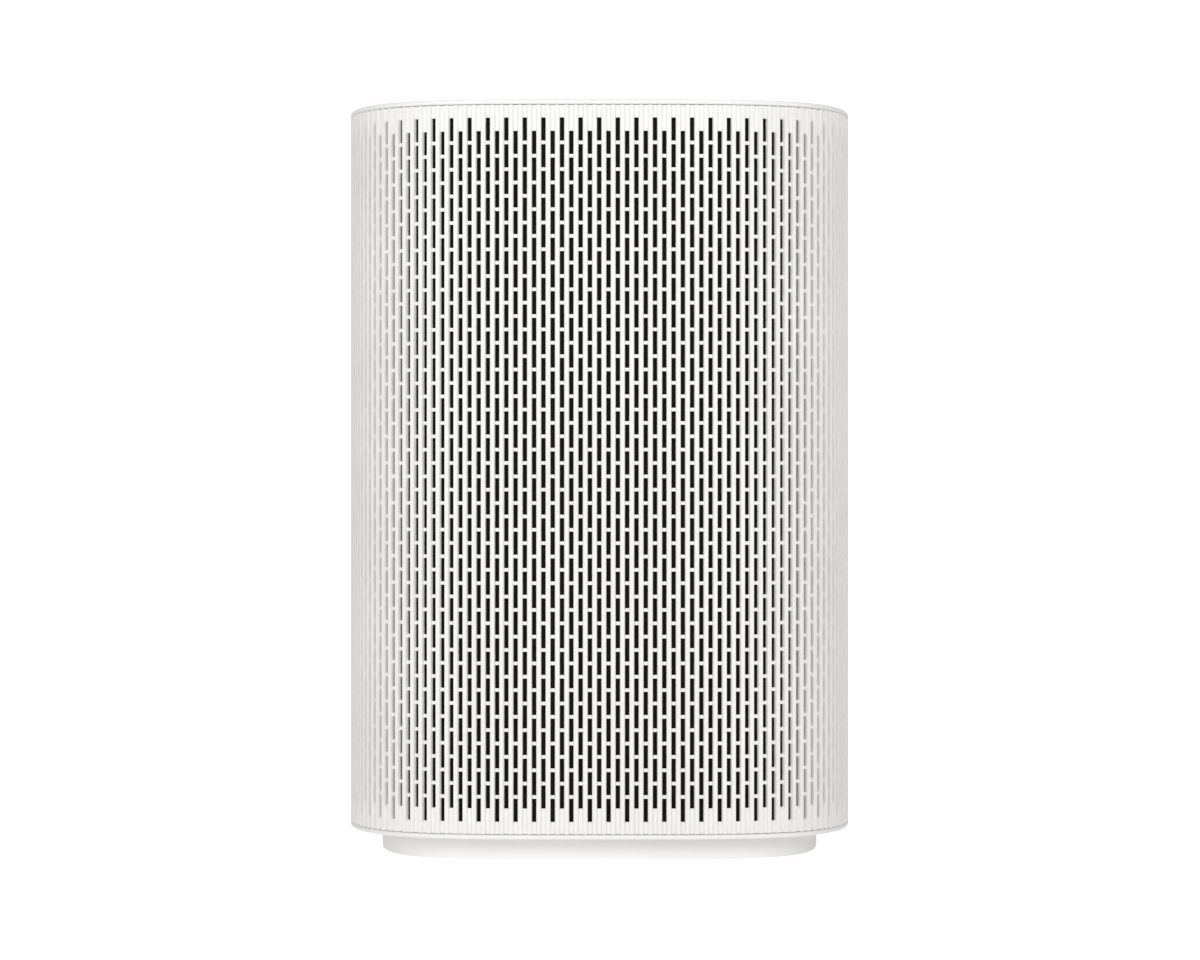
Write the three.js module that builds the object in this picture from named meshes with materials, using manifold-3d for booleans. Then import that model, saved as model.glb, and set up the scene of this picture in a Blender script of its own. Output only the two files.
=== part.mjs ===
// Compact tower air purifier: room air enters through a slotted shell, passes a round filter,
// and a fan under the top grille blows it out upwards.
// Millimetres, +Z up. The front faces -Y and the origin is on the floor under the middle.
import * as THREE from "three";
import { mergeGeometries, mergeVertices } from "three/addons/utils/BufferGeometryUtils.js";
import Module from "manifold-3d";

const wasm = await Module();
wasm.setup();

// ---- Driving dimensions -------------------------------------------------------------------

// Body
const WIDTH = 250;
const DEPTH = 250;
const HEIGHT = 364.6;
const PLAN_POWER = 4; // superellipse exponent of the plan: 2 is an ellipse, higher is squarer
const JOINT_GAP = 0.3; // visible seam between two mating pieces
const CLEARANCE = 0.6; // between a piece and the one that it slides into or stands beside
const OVERRUN = 1; // that a cutter reaches past what it cuts
const SINK = 1; // that a joined feature is sunk into its neighbour

// Shell
const SHELL_WALL = 2.6;
const RIB_DEPTH = 1.4;
const GROOVE_MOUTH = 2.3;
const GROOVE_FLOOR = 2.0;
const GROOVE_END = 0.5; // solid lip left at each end of a groove
const COLUMN_PITCH = 4.44;

// Base
const PAD_PROUD = 0.8;
const PAD_RADIUS = 8;
const PAD_POCKET = 1.2;
const FOOT_HEIGHT = 11.2;
const FOOT_INSET = 15.9;
const FOOT_POWER = 4.4;
const TRAY_EDGE = 2.1;
const TRAY_SKIRT = 9;
const SKIRT_WALL = 2;
const SCREW_RADIUS = 1.5;
const SCREW_HEAD_RADIUS = 2.9;
const SCREW_HEAD = 2;
const SCREW_SUNK = 3; // depth of the hole for a foot screw's head
const SCREW_GRIP = 8; // length of a foot screw above the tray

// Filter door, a bayonet cover
const DOOR_RIM = 13.2; // from the foot's side to the door
const DOOR_PLATE = 3;
const DOOR_WALL = 2.2;
const LUG_COUNT = 4;
const LUG_ANGLE = 22;
const LUG_REACH = 3.2;
const LUG_THICK = 2.4;
const LUG_START = 45; // degrees from +X to the first lug
const NOTCH_ANGLE = 26;
const TWIST = 25; // degrees that unlock the door
const GRIP_WIDTH = 16;
const GRIP_RECESS_RADIUS = 32;
const GRIP_RECESS_DEPTH = 13;

// Filter
const FILTER_CAP = 6;
const MEDIA_THICK = 30;
const CARBON_THICK = 6;
const SEAL_HEIGHT = 4;
const SEAL_WIDTH = 7;

// Prefilter and pillars
const MESH_THICK = 0.7;
const PILLAR_RADIUS = 6;
const PILLAR_ORBIT_INSET = 15; // from the side of the body to the circle that the pillars stand on
const PILLAR_ANGLE = 33;
const PAD_ORBIT_INSET = 11;
const PAD_ANGLE = 45;
const PILLAR_FLANGE = 2;
const PILLAR_FLANGE_HEIGHT = 3;

// Fan section
const FAN_SECTION = 124; // from the deck's underside to the top of the body
const DECK_THICK = 3;
const HOUSING_GAP = 20; // from the mesh to the fan housing, at mid side
const HOUSING_WALL = 2.2;
const HOUSING_FLANGE = 5;
const HOUSING_FLANGE_HEIGHT = 2;
const CORNER_PASSAGE_WALL = 6; // left between the housing and each corner passage of the deck
const BELLMOUTH_WALL = 2;
const BELLMOUTH_FLARE = 3;
const INLET_RADIUS = 50;
const RIM_SPACE = 20.3; // from the impeller's rim to the fan housing
const IMPELLER_HEIGHT = 52;
const IMPELLER_PLATE = 2;
const BLADE_COUNT = 9;
const BLADE_THICK = 1.8;
const BLADE_INNER = 46;
const BLADE_ANGLE = 48; // degrees that a blade sweeps back
const BLADE_TIP_INSET = 0.5;
const BOSS_WALL = 4;
const BOSS_DEPTH = 6;
const TIP_GAP = 4; // between the impeller and what stands above and below it

// Motor
const SHAFT_RADIUS = 2.5;
const RUNNING_FIT = 0.1;
const BEARING_RADIUS = 6.5;
const BEARING_HEIGHT = 5;
const TUBE_WALL = 1.6;
const STATOR_RADIUS = 20;
const STATOR_HEIGHT = 12;
const WINDING_HEIGHT = 3;
const MAGNET_THICK = 2.2;
const AIR_GAP = 0.5;
const ROTOR_WALL = 1.4;
const MOUNT_RADIUS = 33;
const MOUNT_PLATE = 3;
const MOTOR_SCREWS = 3;
const MOTOR_SCREW_INSET = 6;
const YOKE_WALL = 3;
const SHOE_WALL = 2;
const WEB_HEIGHT = 4;
const BEARING_STEP = 1;
const NUT_RADIUS = 5;
const NUT_HEIGHT = 5;
const SHAFT_TAIL = 2; // below the nut
const SHAFT_HEAD = 3; // above the motor mount
const BOARD_STANDOFF = 6; // from the shaft to the driver board

// Diffuser and outlet
const POD_WALL = 2;
const VANE_COUNT = 11;
const VANE_HEIGHT = 22;
const VANE_THICK = 1.8;
const VANE_LEAN = 24; // degrees from upright
const VANE_RISE = 5; // from the floor of the pod to the vanes
const CAP_EDGE = 2.4;
const CAP_RIM = 31; // from the side of the body to the outlet
const CAP_SKIRT = 9;
const CAP_LEDGE = 3;
const CAP_LEDGE_THICK = 2;
const GRILLE_DROP = 3.2; // top of the grille below the top of the cap
const GRILLE_THICK = 4;
const GRILLE_BARS = 24;
const BAR_THICK = 1.6;
const GRILLE_RING = 2.4;
const BAR_SINK = 0.5; // of each end of a bar into its hoop
const BAR_STEP = 0.5; // from a hoop's faces to a bar's

// Control panel
const PANEL_RADIUS = 36;
const PANEL_THICK = 2.4;
const PANEL_SKIRT = 9;
const LIGHT_RING_WIDTH = 1.6;
const BUTTON_RADIUS = 8.5;
const BUTTON_SPACING = 30; // between the two buttons' centres
const BUTTON_TRAVEL = 0.8;
const BUTTON_PROUD = 0.4;
const BUTTON_THICK = 2.2;
const FLANGE = 1.2;
const STEM_RADIUS = 2.4;
const SPRING_RADIUS = 4.2;
const SPRING_WIRE = 0.6;
const SPRING_TURNS = 3;
const BOARD_THICK = 1.6;

// Rear power inlet
const INLET_WIDTH = 26;
const INLET_HEIGHT = 17;
const INLET_DEPTH = 17;
const INLET_CENTRE = 24; // above the top of the tray
const SOCKET_WIDTH = 17.5;
const SOCKET_HEIGHT = 9.4;
const SOCKET_DEPTH = 12.5;
const PIN_SPACING = 8.6;
const PIN_RADIUS = 1.2;
const PIN_LENGTH = 10;

// Door switch
const PLUNGER_RADIUS = 1.1;
const PLUNGER_TRAVEL = 1.5;
const SWITCH_ANGLE = -90; // degrees about the axis, from +X
const SWITCH_WIDTH = 12;
const SWITCH_HEIGHT = 12;
const SWITCH_LEG = 6;
const SWITCH_ROOF = 2; // over the plunger's well
const RAMP_OVERRUN = 1.5; // degrees that the ramp runs on past the plunger
const RAMP_DEPTH = 1.6;
const RAMP_INSET = 0.3;
const ARM_RISE = 2.5; // from the top of the ramp to the boxes above the door

// Boxes inside the intake space
const MODULE_WIDTH = 60;
const MODULE_HEIGHT = 90;
const SENSOR_WIDTH = 38;
const SENSOR_HEIGHT = 34;

// Number of flats on a round piece
const SIDES_LARGE = 28;
const SIDES_MEDIUM = 16;
const SIDES_SMALL = 8;
const PLAN_SIDES = 40;
const SHELL_SIDES = 96;
const NUT_SIDES = 6;
const WIRE_SIDES = 5;
const STEPS_PER_TURN = 10;
const FINE_SIDES = 4096; // for measuring round the plan

// ---- Sizes and levels that follow from them -----------------------------------------------

const span = Math.min(WIDTH, DEPTH) / 2;
const footBottom = PAD_PROUD;
const footTop = footBottom + FOOT_HEIGHT;
const trayBottom = footTop + JOINT_GAP;
const trayTop = trayBottom + TRAY_EDGE;
const shellBottom = trayTop + JOINT_GAP;
const capBottom = HEIGHT - CAP_EDGE;
const shellTop = capBottom - JOINT_GAP;
const deckBottom = HEIGHT - FAN_SECTION;
const deckTop = deckBottom + DECK_THICK;

const meshInset = SHELL_WALL + CLEARANCE;
const skirtInset = meshInset + MESH_THICK + CLEARANCE;

const doorRadius = span - FOOT_INSET - DOOR_RIM;
const doorHole = doorRadius + CLEARANCE;
const wallInner = doorRadius - DOOR_WALL;
const lugBottom = trayTop + CLEARANCE;
const doorFloor = footBottom + DOOR_PLATE;
const doorWallTop = lugBottom + LUG_THICK;

const filterRadius = wallInner - 4 * CLEARANCE;
const filterBottom = footBottom + GRIP_RECESS_DEPTH + DOOR_PLATE + JOINT_GAP;
const sealTop = deckBottom - JOINT_GAP;
const filterTop = sealTop - SEAL_HEIGHT - JOINT_GAP;
const carbonOuter = filterRadius - MEDIA_THICK;
const boreRadius = carbonOuter - CARBON_THICK;

const housingOuter = span - skirtInset - HOUSING_GAP;
const housingInner = housingOuter - HOUSING_WALL;
const impellerRadius = housingInner - RIM_SPACE;
const impellerBottom = deckTop + TIP_GAP;
const impellerTop = impellerBottom + IMPELLER_HEIGHT;
const podBottom = impellerTop + TIP_GAP;
const outletRadius = span - CAP_RIM;
const grilleTop = HEIGHT - GRILLE_DROP;
const grilleBottom = grilleTop - GRILLE_THICK;
const housingTop = capBottom - JOINT_GAP;
const podTop = grilleBottom - JOINT_GAP;
const podFloor = podBottom + POD_WALL;
const lightOuter = PANEL_RADIUS + JOINT_GAP + LIGHT_RING_WIDTH;
const podInner = lightOuter + RUNNING_FIT;
const podRadius = podInner + POD_WALL;

const magnetInner = STATOR_RADIUS + AIR_GAP;
const magnetOuter = magnetInner + MAGNET_THICK;
const rotorInner = magnetOuter + JOINT_GAP;
const rotorOuter = rotorInner + ROTOR_WALL;
const tubeInner = BEARING_RADIUS + JOINT_GAP;
const tubeOuter = tubeInner + TUBE_WALL;
const coreTop = podBottom - JOINT_GAP - WINDING_HEIGHT;
const coreBottom = coreTop - STATOR_HEIGHT;
const rotorFloor = coreBottom - WINDING_HEIGHT - CLEARANCE;
const rotorBottom = rotorFloor - ROTOR_WALL;
const hubRecess = rotorOuter + JOINT_GAP;
const hubOuter = hubRecess + IMPELLER_PLATE;
const hubFloorTop = rotorBottom - JOINT_GAP;
const hubFloorBottom = hubFloorTop - IMPELLER_PLATE;
const bossBottom = hubFloorBottom - BOSS_DEPTH;
const pressBore = SHAFT_RADIUS + JOINT_GAP;
const shaftBottom = bossBottom - JOINT_GAP - NUT_HEIGHT - SHAFT_TAIL;
const mountBottom = podFloor + JOINT_GAP;
const mountTop = mountBottom + MOUNT_PLATE;
const upperBearingTop = mountTop;
const lowerBearingBottom = rotorFloor + CLEARANCE;
const shaftTop = mountTop + SHAFT_HEAD;

const panelTop = grilleTop;
const panelBottom = panelTop - PANEL_THICK;
const boardTop = panelTop - PANEL_SKIRT;
const buttonTop = panelTop + BUTTON_PROUD;
const buttonFlangeTop = panelBottom - JOINT_GAP;
const buttonFlangeBottom = buttonFlangeTop - FLANGE;
const grilleInner = lightOuter + JOINT_GAP;

const inletZ = trayTop + INLET_CENTRE;
const rampTop = doorWallTop + PLUNGER_TRAVEL;
const plungerOrbit = doorRadius - DOOR_WALL / 2;

// ---- Materials ----------------------------------------------------------------------------

function plastic(colour, roughness) {
  return new THREE.MeshStandardMaterial({ color: colour, roughness, metalness: 0 });
}

function metal(colour, roughness) {
  return new THREE.MeshStandardMaterial({ color: colour, roughness, metalness: 1 });
}

const whiteShell = () => plastic(0xfaf9f7, 0.5);
const blackPlastic = () => plastic(0x1b1b1c, 0.6);
const darkMesh = () => plastic(0x101011, 0.9);
const rubber = () => plastic(0x2a2a2b, 0.85);
const filterPaper = () => plastic(0xf1efe8, 0.95);
const carbon = () => plastic(0x161616, 0.95);
const foam = () => plastic(0x3a3a3c, 0.95);
const circuitBoard = () => plastic(0x1f5a38, 0.5);
const litPlastic = () => plastic(0xe8eef0, 0.35);
const steel = () => metal(0xb9bcc0, 0.3);
const brass = () => metal(0xc9a45a, 0.3);
const copper = () => metal(0xb5653a, 0.4);
const aluminium = () => metal(0xbfc2c5, 0.45);
const laminations = () => metal(0x6d6f73, 0.5);

// ---- Geometry helpers ---------------------------------------------------------------------

const radians = THREE.MathUtils.degToRad;

// A point on a circle about the body's axis.
function polar(radius, degrees) {
  return new THREE.Vector2(radius * Math.cos(radians(degrees)), radius * Math.sin(radians(degrees)));
}

// The plan of the body, a superellipse, drawn in from the overall width and depth by an inset.
function plan(inset, power = PLAN_POWER, sides = PLAN_SIDES) {
  const points = [];
  for (let i = 0; i < sides; i += 1) {
    const angle = (2 * Math.PI * i) / sides;
    const reach = (value, half) => Math.sign(value) * half * Math.abs(value) ** (2 / power);
    points.push(
      new THREE.Vector2(
        reach(Math.cos(angle), WIDTH / 2 - inset),
        reach(Math.sin(angle), DEPTH / 2 - inset),
      ),
    );
  }
  return points;
}

// An outline on XY, with any holes, raised into a slab between two levels.
function slab(outline, bottom, top, holes = []) {
  const shape = new THREE.Shape(outline);
  shape.holes = holes.map((hole) => new THREE.Path(hole));
  const geometry = new THREE.ExtrudeGeometry(shape, { depth: top - bottom, bevelEnabled: false });
  return geometry.translate(0, 0, bottom);
}

// The radius of a polygon's corners that puts its flats at a radius.
function aroundFlats(radius, sides) {
  return radius / Math.cos(Math.PI / sides);
}

function circle(radius, sides) {
  const points = [];
  for (let i = 0; i < sides; i += 1) points.push(polar(radius, (360 * i) / sides));
  return points;
}

// A closed [radius, level] profile turned about Z.
function turned(profile, sides) {
  const closed = [...profile, profile[0]].map(([radius, level]) => new THREE.Vector2(radius, level));
  return new THREE.LatheGeometry(closed, sides).rotateX(Math.PI / 2);
}

function ring(inner, outer, bottom, top, sides) {
  return turned([[inner, bottom], [outer, bottom], [outer, top], [inner, top]], sides);
}

function rod(radius, bottom, top, sides = SIDES_SMALL) {
  const geometry = new THREE.CylinderGeometry(radius, radius, top - bottom, sides);
  return geometry.rotateX(Math.PI / 2).translate(0, 0, (top + bottom) / 2);
}

// A block given by its lowest and highest corners.
function block(low, high) {
  const size = high.map((value, axis) => value - low[axis]);
  const middle = high.map((value, axis) => (value + low[axis]) / 2);
  return new THREE.BoxGeometry(...size).translate(...middle);
}

// A stretch of a flat ring between two angles, as an outline.
function sector(inner, outer, from, to, steps = 6) {
  const points = [];
  for (let i = 0; i <= steps; i += 1) points.push(polar(outer, from + ((to - from) * i) / steps));
  for (let i = steps; i >= 0; i -= 1) points.push(polar(inner, from + ((to - from) * i) / steps));
  return points;
}

function solid(geometry) {
  const bare = geometry.clone();
  bare.deleteAttribute("normal");
  bare.deleteAttribute("uv");
  const merged = mergeVertices(bare, 1e-4);
  return new wasm.Manifold(
    new wasm.Mesh({
      numProp: 3,
      vertProperties: new Float32Array(merged.attributes.position.array),
      triVerts: new Uint32Array(merged.index.array),
    }),
  );
}

function geometryOf(manifold) {
  const { vertProperties, triVerts } = manifold.getMesh();
  const geometry = new THREE.BufferGeometry();
  geometry.setAttribute("position", new THREE.BufferAttribute(vertProperties, 3));
  geometry.setIndex(new THREE.BufferAttribute(triVerts, 1));
  geometry.computeVertexNormals();
  return geometry;
}

function join(first, ...others) {
  return geometryOf(others.reduce((whole, other) => whole.add(solid(other)), solid(first)));
}

function cut(first, ...others) {
  return geometryOf(others.reduce((whole, other) => whole.subtract(solid(other)), solid(first)));
}

function part(name, geometry, material) {
  const mesh = new THREE.Mesh(geometry, material);
  mesh.name = name;
  return mesh;
}

// ---- Base ---------------------------------------------------------------------------------

const lugAngles = Array.from({ length: LUG_COUNT }, (_, i) => LUG_START + (360 * i) / LUG_COUNT);
const cornerAngles = [0, 90, 180, 270];

// The round way that the filter and its door pass through, with a notch for each lug.
function doorway(bottom, top) {
  const notchReach = doorRadius + LUG_REACH + CLEARANCE;
  const notches = lugAngles.map((angle) => {
    const middle = angle + TWIST;
    const half = NOTCH_ANGLE / 2;
    return slab(sector(doorHole - 2 * SINK, notchReach, middle - half, middle + half), bottom, top);
  });
  return join(rod(aroundFlats(doorHole, SIDES_LARGE), bottom, top, SIDES_LARGE), ...notches);
}

const pillarOrbit = span - PILLAR_ORBIT_INSET;
const padOrbit = span - PAD_ORBIT_INSET;
const pillarPlaces = cornerAngles.map((angle) => polar(pillarOrbit, angle + PILLAR_ANGLE));
const padPlaces = cornerAngles.map((angle) => polar(padOrbit, angle + PAD_ANGLE));

function baseTray() {
  const plate = slab(plan(0), trayBottom, trayTop);
  const skirtTop = trayTop + TRAY_SKIRT;
  const skirt = slab(plan(skirtInset), trayTop - SINK, skirtTop, [plan(skirtInset + SKIRT_WALL)]);
  const screwHoles = pillarPlaces.map(({ x, y }) =>
    rod(SCREW_RADIUS + JOINT_GAP, trayBottom - OVERRUN, trayTop + OVERRUN).translate(x, y, 0),
  );
  const cuts = [doorway(trayBottom - OVERRUN, trayTop + OVERRUN), ...screwHoles];
  return part("base_tray", cut(join(plate, skirt), ...cuts), whiteShell());
}

function baseFoot() {
  const plinth = slab(plan(FOOT_INSET, FOOT_POWER), footBottom, footTop);
  const low = footBottom - OVERRUN;
  const pockets = padPlaces.map(({ x, y }) =>
    rod(PAD_RADIUS + JOINT_GAP, low, footBottom + PAD_POCKET, SIDES_MEDIUM).translate(x, y, 0),
  );
  const screwHoles = pillarPlaces.flatMap(({ x, y }) => [
    rod(SCREW_RADIUS + JOINT_GAP, low, footTop + OVERRUN).translate(x, y, 0),
    rod(SCREW_HEAD_RADIUS + JOINT_GAP, low, footBottom + SCREW_SUNK).translate(x, y, 0),
  ]);
  const cuts = [doorway(low, footTop + OVERRUN), ...pockets, ...screwHoles];
  return part("base_foot", cut(plinth, ...cuts), whiteShell());
}

function footPads() {
  const padTop = footBottom + PAD_POCKET - JOINT_GAP;
  return padPlaces.map(({ x, y }, i) => {
    const pad = part(`foot_pad_${i + 1}`, rod(PAD_RADIUS, 0, padTop, SIDES_MEDIUM), rubber());
    pad.position.set(x, y, 0);
    return pad;
  });
}

function footScrews() {
  const headTop = footBottom + SCREW_SUNK - JOINT_GAP;
  return pillarPlaces.map(({ x, y }, i) => {
    const head = rod(SCREW_HEAD_RADIUS, headTop - SCREW_HEAD, headTop);
    const shank = rod(SCREW_RADIUS, headTop - SINK, trayTop + SCREW_GRIP);
    const screw = part(`foot_screw_${i + 1}`, join(head, shank), steel());
    screw.position.set(x, y, 0);
    return screw;
  });
}

function pillars() {
  const bottom = trayTop + JOINT_GAP;
  return pillarPlaces.map(({ x, y }, i) => {
    const post = rod(PILLAR_RADIUS, bottom, deckBottom - JOINT_GAP);
    const flange = rod(PILLAR_RADIUS + PILLAR_FLANGE, bottom, bottom + PILLAR_FLANGE_HEIGHT);
    const screwHole = rod(SCREW_RADIUS + JOINT_GAP, bottom - OVERRUN, trayTop + SCREW_GRIP + CLEARANCE);
    const pillar = part(`deck_pillar_${i + 1}`, cut(join(post, flange), screwHole), blackPlastic());
    pillar.position.set(x, y, 0);
    return pillar;
  });
}

// ---- Filter door --------------------------------------------------------------------------

// A helix about Z that climbs with its angle.
class Helix extends THREE.Curve {
  constructor(radius, startAngle, endAngle, startLevel, endLevel) {
    super();
    Object.assign(this, { radius, startAngle, endAngle, startLevel, endLevel });
  }

  getPoint(t, target = new THREE.Vector3()) {
    const angle = radians(this.startAngle + (this.endAngle - this.startAngle) * t);
    const level = this.startLevel + (this.endLevel - this.startLevel) * t;
    return target.set(this.radius * Math.cos(angle), this.radius * Math.sin(angle), level);
  }
}

// The ramp that holds the switch plunger up while the door is locked, and lets it down as the door turns.
function switchRamp() {
  const rise = PLUNGER_TRAVEL / TWIST;
  const half = DOOR_WALL / 2 - RAMP_INSET;
  const from = SWITCH_ANGLE - TWIST;
  const to = SWITCH_ANGLE + RAMP_OVERRUN;
  const levelAt = (angle) => doorWallTop + rise * (angle - from) - RAMP_DEPTH;
  const path = new Helix(plungerOrbit, from, to, levelAt(from), levelAt(to));
  const square = new THREE.Shape([
    new THREE.Vector2(-RAMP_DEPTH, -half),
    new THREE.Vector2(RAMP_DEPTH, -half),
    new THREE.Vector2(RAMP_DEPTH, half),
    new THREE.Vector2(-RAMP_DEPTH, half),
  ]);
  return new THREE.ExtrudeGeometry(square, { steps: 8, extrudePath: path });
}

function filterDoor() {
  const body = turned(
    [
      [0, footBottom],
      [doorRadius, footBottom],
      [doorRadius, doorWallTop],
      [wallInner, doorWallTop],
      [wallInner, doorFloor],
      [GRIP_RECESS_RADIUS + DOOR_PLATE, doorFloor],
      [GRIP_RECESS_RADIUS + DOOR_PLATE, filterBottom - JOINT_GAP],
      [0, filterBottom - JOINT_GAP],
    ],
    SIDES_LARGE,
  );
  const dish = rod(GRIP_RECESS_RADIUS, footBottom - OVERRUN, footBottom + GRIP_RECESS_DEPTH, SIDES_MEDIUM);
  const half = LUG_ANGLE / 2;
  const lugRoot = (wallInner + doorRadius) / 2;
  const lugs = lugAngles.map((angle) =>
    slab(sector(lugRoot, doorRadius + LUG_REACH, angle - half, angle + half), lugBottom, doorWallTop),
  );
  const grip = block(
    [-GRIP_RECESS_RADIUS - SINK, -GRIP_WIDTH / 2, footBottom],
    [GRIP_RECESS_RADIUS + SINK, GRIP_WIDTH / 2, footBottom + GRIP_RECESS_DEPTH + SINK],
  );
  return part("filter_door", join(cut(body, dish), grip, ...lugs, switchRamp()), whiteShell());
}

function doorSeal() {
  const outer = filterRadius - CLEARANCE;
  return part(
    "door_seal",
    ring(outer - SEAL_WIDTH, outer, doorFloor + JOINT_GAP, filterBottom - JOINT_GAP, SIDES_LARGE),
    foam(),
  );
}

// ---- Filter -------------------------------------------------------------------------------

const capPlate = FILTER_CAP / 3;
const capRim = 1.2;
const mediaBottom = filterBottom + capPlate + JOINT_GAP;
const mediaTop = filterTop - capPlate - JOINT_GAP;

function filterParts() {
  const bottomCap = turned(
    [
      [0, filterBottom],
      [filterRadius, filterBottom],
      [filterRadius, filterBottom + FILTER_CAP],
      [filterRadius - capRim, filterBottom + FILTER_CAP],
      [filterRadius - capRim, filterBottom + capPlate],
      [0, filterBottom + capPlate],
    ],
    SIDES_LARGE,
  );
  const topCap = turned(
    [
      [boreRadius, filterTop],
      [boreRadius, filterTop - capPlate],
      [filterRadius - capRim, filterTop - capPlate],
      [filterRadius - capRim, filterTop - FILTER_CAP],
      [filterRadius, filterTop - FILTER_CAP],
      [filterRadius, filterTop],
    ],
    SIDES_LARGE,
  );
  const mediaOuter = filterRadius - capRim - JOINT_GAP;
  const media = ring(carbonOuter + JOINT_GAP, mediaOuter, mediaBottom, mediaTop, SIDES_LARGE);
  const sleeve = ring(boreRadius, carbonOuter, mediaBottom, mediaTop, SIDES_LARGE);
  return [
    part("filter_bottom_cap", bottomCap, blackPlastic()),
    part("filter_top_cap", topCap, blackPlastic()),
    part("filter_media", media, filterPaper()),
    part("carbon_sleeve", sleeve, carbon()),
  ];
}

// ---- Fan section --------------------------------------------------------------------------

function fanDeck() {
  const throat = INLET_RADIUS - BELLMOUTH_FLARE;
  const lip = throat + BELLMOUTH_WALL;
  const rim = INLET_RADIUS + BELLMOUTH_FLARE;
  const lipTop = impellerBottom - BELLMOUTH_WALL / 2;
  const plate = slab(plan(skirtInset), deckBottom, deckTop, [circle(rim - SINK, SIDES_LARGE)]);
  const bellmouth = turned(
    [
      [rim, deckBottom],
      [rim, deckTop],
      [lip, deckTop],
      [lip, lipTop],
      [throat, lipTop],
      [throat, deckTop],
      [lip, deckBottom],
    ],
    SIDES_LARGE,
  );
  const cornerReach = Math.SQRT2 * (span - skirtInset) * 0.5 ** (1 / PLAN_POWER);
  const passageOrbit = (cornerReach + housingOuter) / 2;
  const passageRadius = (cornerReach - housingOuter) / 2 - CORNER_PASSAGE_WALL;
  const passages = cornerAngles.map((angle) => {
    const { x, y } = polar(passageOrbit, angle + PAD_ANGLE);
    return rod(passageRadius, deckBottom - OVERRUN, deckTop + OVERRUN, SIDES_MEDIUM).translate(x, y, 0);
  });
  return part("fan_deck", cut(join(plate, bellmouth), ...passages), blackPlastic());
}

function deckSeal() {
  const outer = filterRadius - 3 * CLEARANCE;
  const seal = ring(outer - SEAL_WIDTH, outer, sealTop - SEAL_HEIGHT, sealTop, SIDES_LARGE);
  return part("deck_seal", seal, foam());
}

function fanHousing() {
  const bottom = deckTop + JOINT_GAP;
  const profile = [
    [housingInner, bottom],
    [housingOuter + HOUSING_FLANGE, bottom],
    [housingOuter + HOUSING_FLANGE, bottom + HOUSING_FLANGE_HEIGHT],
    [housingOuter, bottom + HOUSING_FLANGE_HEIGHT],
    [housingOuter, housingTop],
    [housingInner, housingTop],
  ];
  return part("fan_housing", turned(profile, SIDES_LARGE), blackPlastic());
}

// One backward-curved blade, as an outline: its middle line sweeps back as it runs outwards.
function bladeOutline(start) {
  const steps = 6;
  const edge = (side) =>
    Array.from({ length: steps + 1 }, (_, i) => {
      const t = i / steps;
      const radius = BLADE_INNER + (impellerRadius - BLADE_TIP_INSET - BLADE_INNER) * t;
      const aside = THREE.MathUtils.radToDeg((side * BLADE_THICK) / 2 / radius);
      return polar(radius, start - BLADE_ANGLE * t + aside);
    });
  return [...edge(-1), ...edge(1).reverse()];
}

function impeller() {
  const plateBottom = impellerTop - IMPELLER_PLATE;
  const bossRadius = pressBore + BOSS_WALL;
  const hub = turned(
    [
      [pressBore, bossBottom],
      [bossRadius, bossBottom],
      [bossRadius, hubFloorBottom],
      [hubOuter, hubFloorBottom],
      [hubOuter, plateBottom],
      [impellerRadius, plateBottom],
      [impellerRadius, impellerTop],
      [hubRecess, impellerTop],
      [hubRecess, hubFloorTop],
      [pressBore, hubFloorTop],
    ],
    SIDES_MEDIUM,
  );
  const shroudTop = impellerBottom + IMPELLER_PLATE;
  const shroud = ring(INLET_RADIUS, impellerRadius, impellerBottom, shroudTop, SIDES_MEDIUM);
  const blades = Array.from({ length: BLADE_COUNT }, (_, i) =>
    slab(bladeOutline((360 * i) / BLADE_COUNT), shroudTop - SINK, plateBottom + SINK),
  );
  return part("impeller", join(hub, shroud, ...blades), blackPlastic());
}

function rotorParts() {
  const cupTop = podBottom - 2 * CLEARANCE;
  const cup = turned(
    [
      [pressBore, rotorBottom],
      [rotorOuter, rotorBottom],
      [rotorOuter, cupTop],
      [rotorInner, cupTop],
      [rotorInner, rotorFloor],
      [pressBore, rotorFloor],
    ],
    SIDES_MEDIUM,
  );
  const magnet = ring(magnetInner, magnetOuter, coreBottom, coreTop, SIDES_MEDIUM);
  const nutTop = bossBottom - JOINT_GAP;
  const nutBottom = nutTop - NUT_HEIGHT;
  const nutBore = rod(pressBore, nutBottom - OVERRUN, nutTop + OVERRUN, SIDES_MEDIUM);
  const nut = cut(rod(NUT_RADIUS, nutBottom, nutTop, NUT_SIDES), nutBore);
  return [
    part("motor_shaft", rod(SHAFT_RADIUS, shaftBottom, shaftTop, SIDES_MEDIUM), steel()),
    part("rotor_cup", cup, steel()),
    part("rotor_magnet", magnet, laminations()),
    part("impeller_nut", nut, brass()),
  ];
}

const motorScrewPlaces = Array.from({ length: MOTOR_SCREWS }, (_, i) =>
  polar(MOUNT_RADIUS - MOTOR_SCREW_INSET, 90 + (360 * i) / MOTOR_SCREWS),
);

function motorScrewHoles(bottom, top) {
  return motorScrewPlaces.map(({ x, y }) => rod(SCREW_RADIUS + JOINT_GAP, bottom, top).translate(x, y, 0));
}

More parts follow.
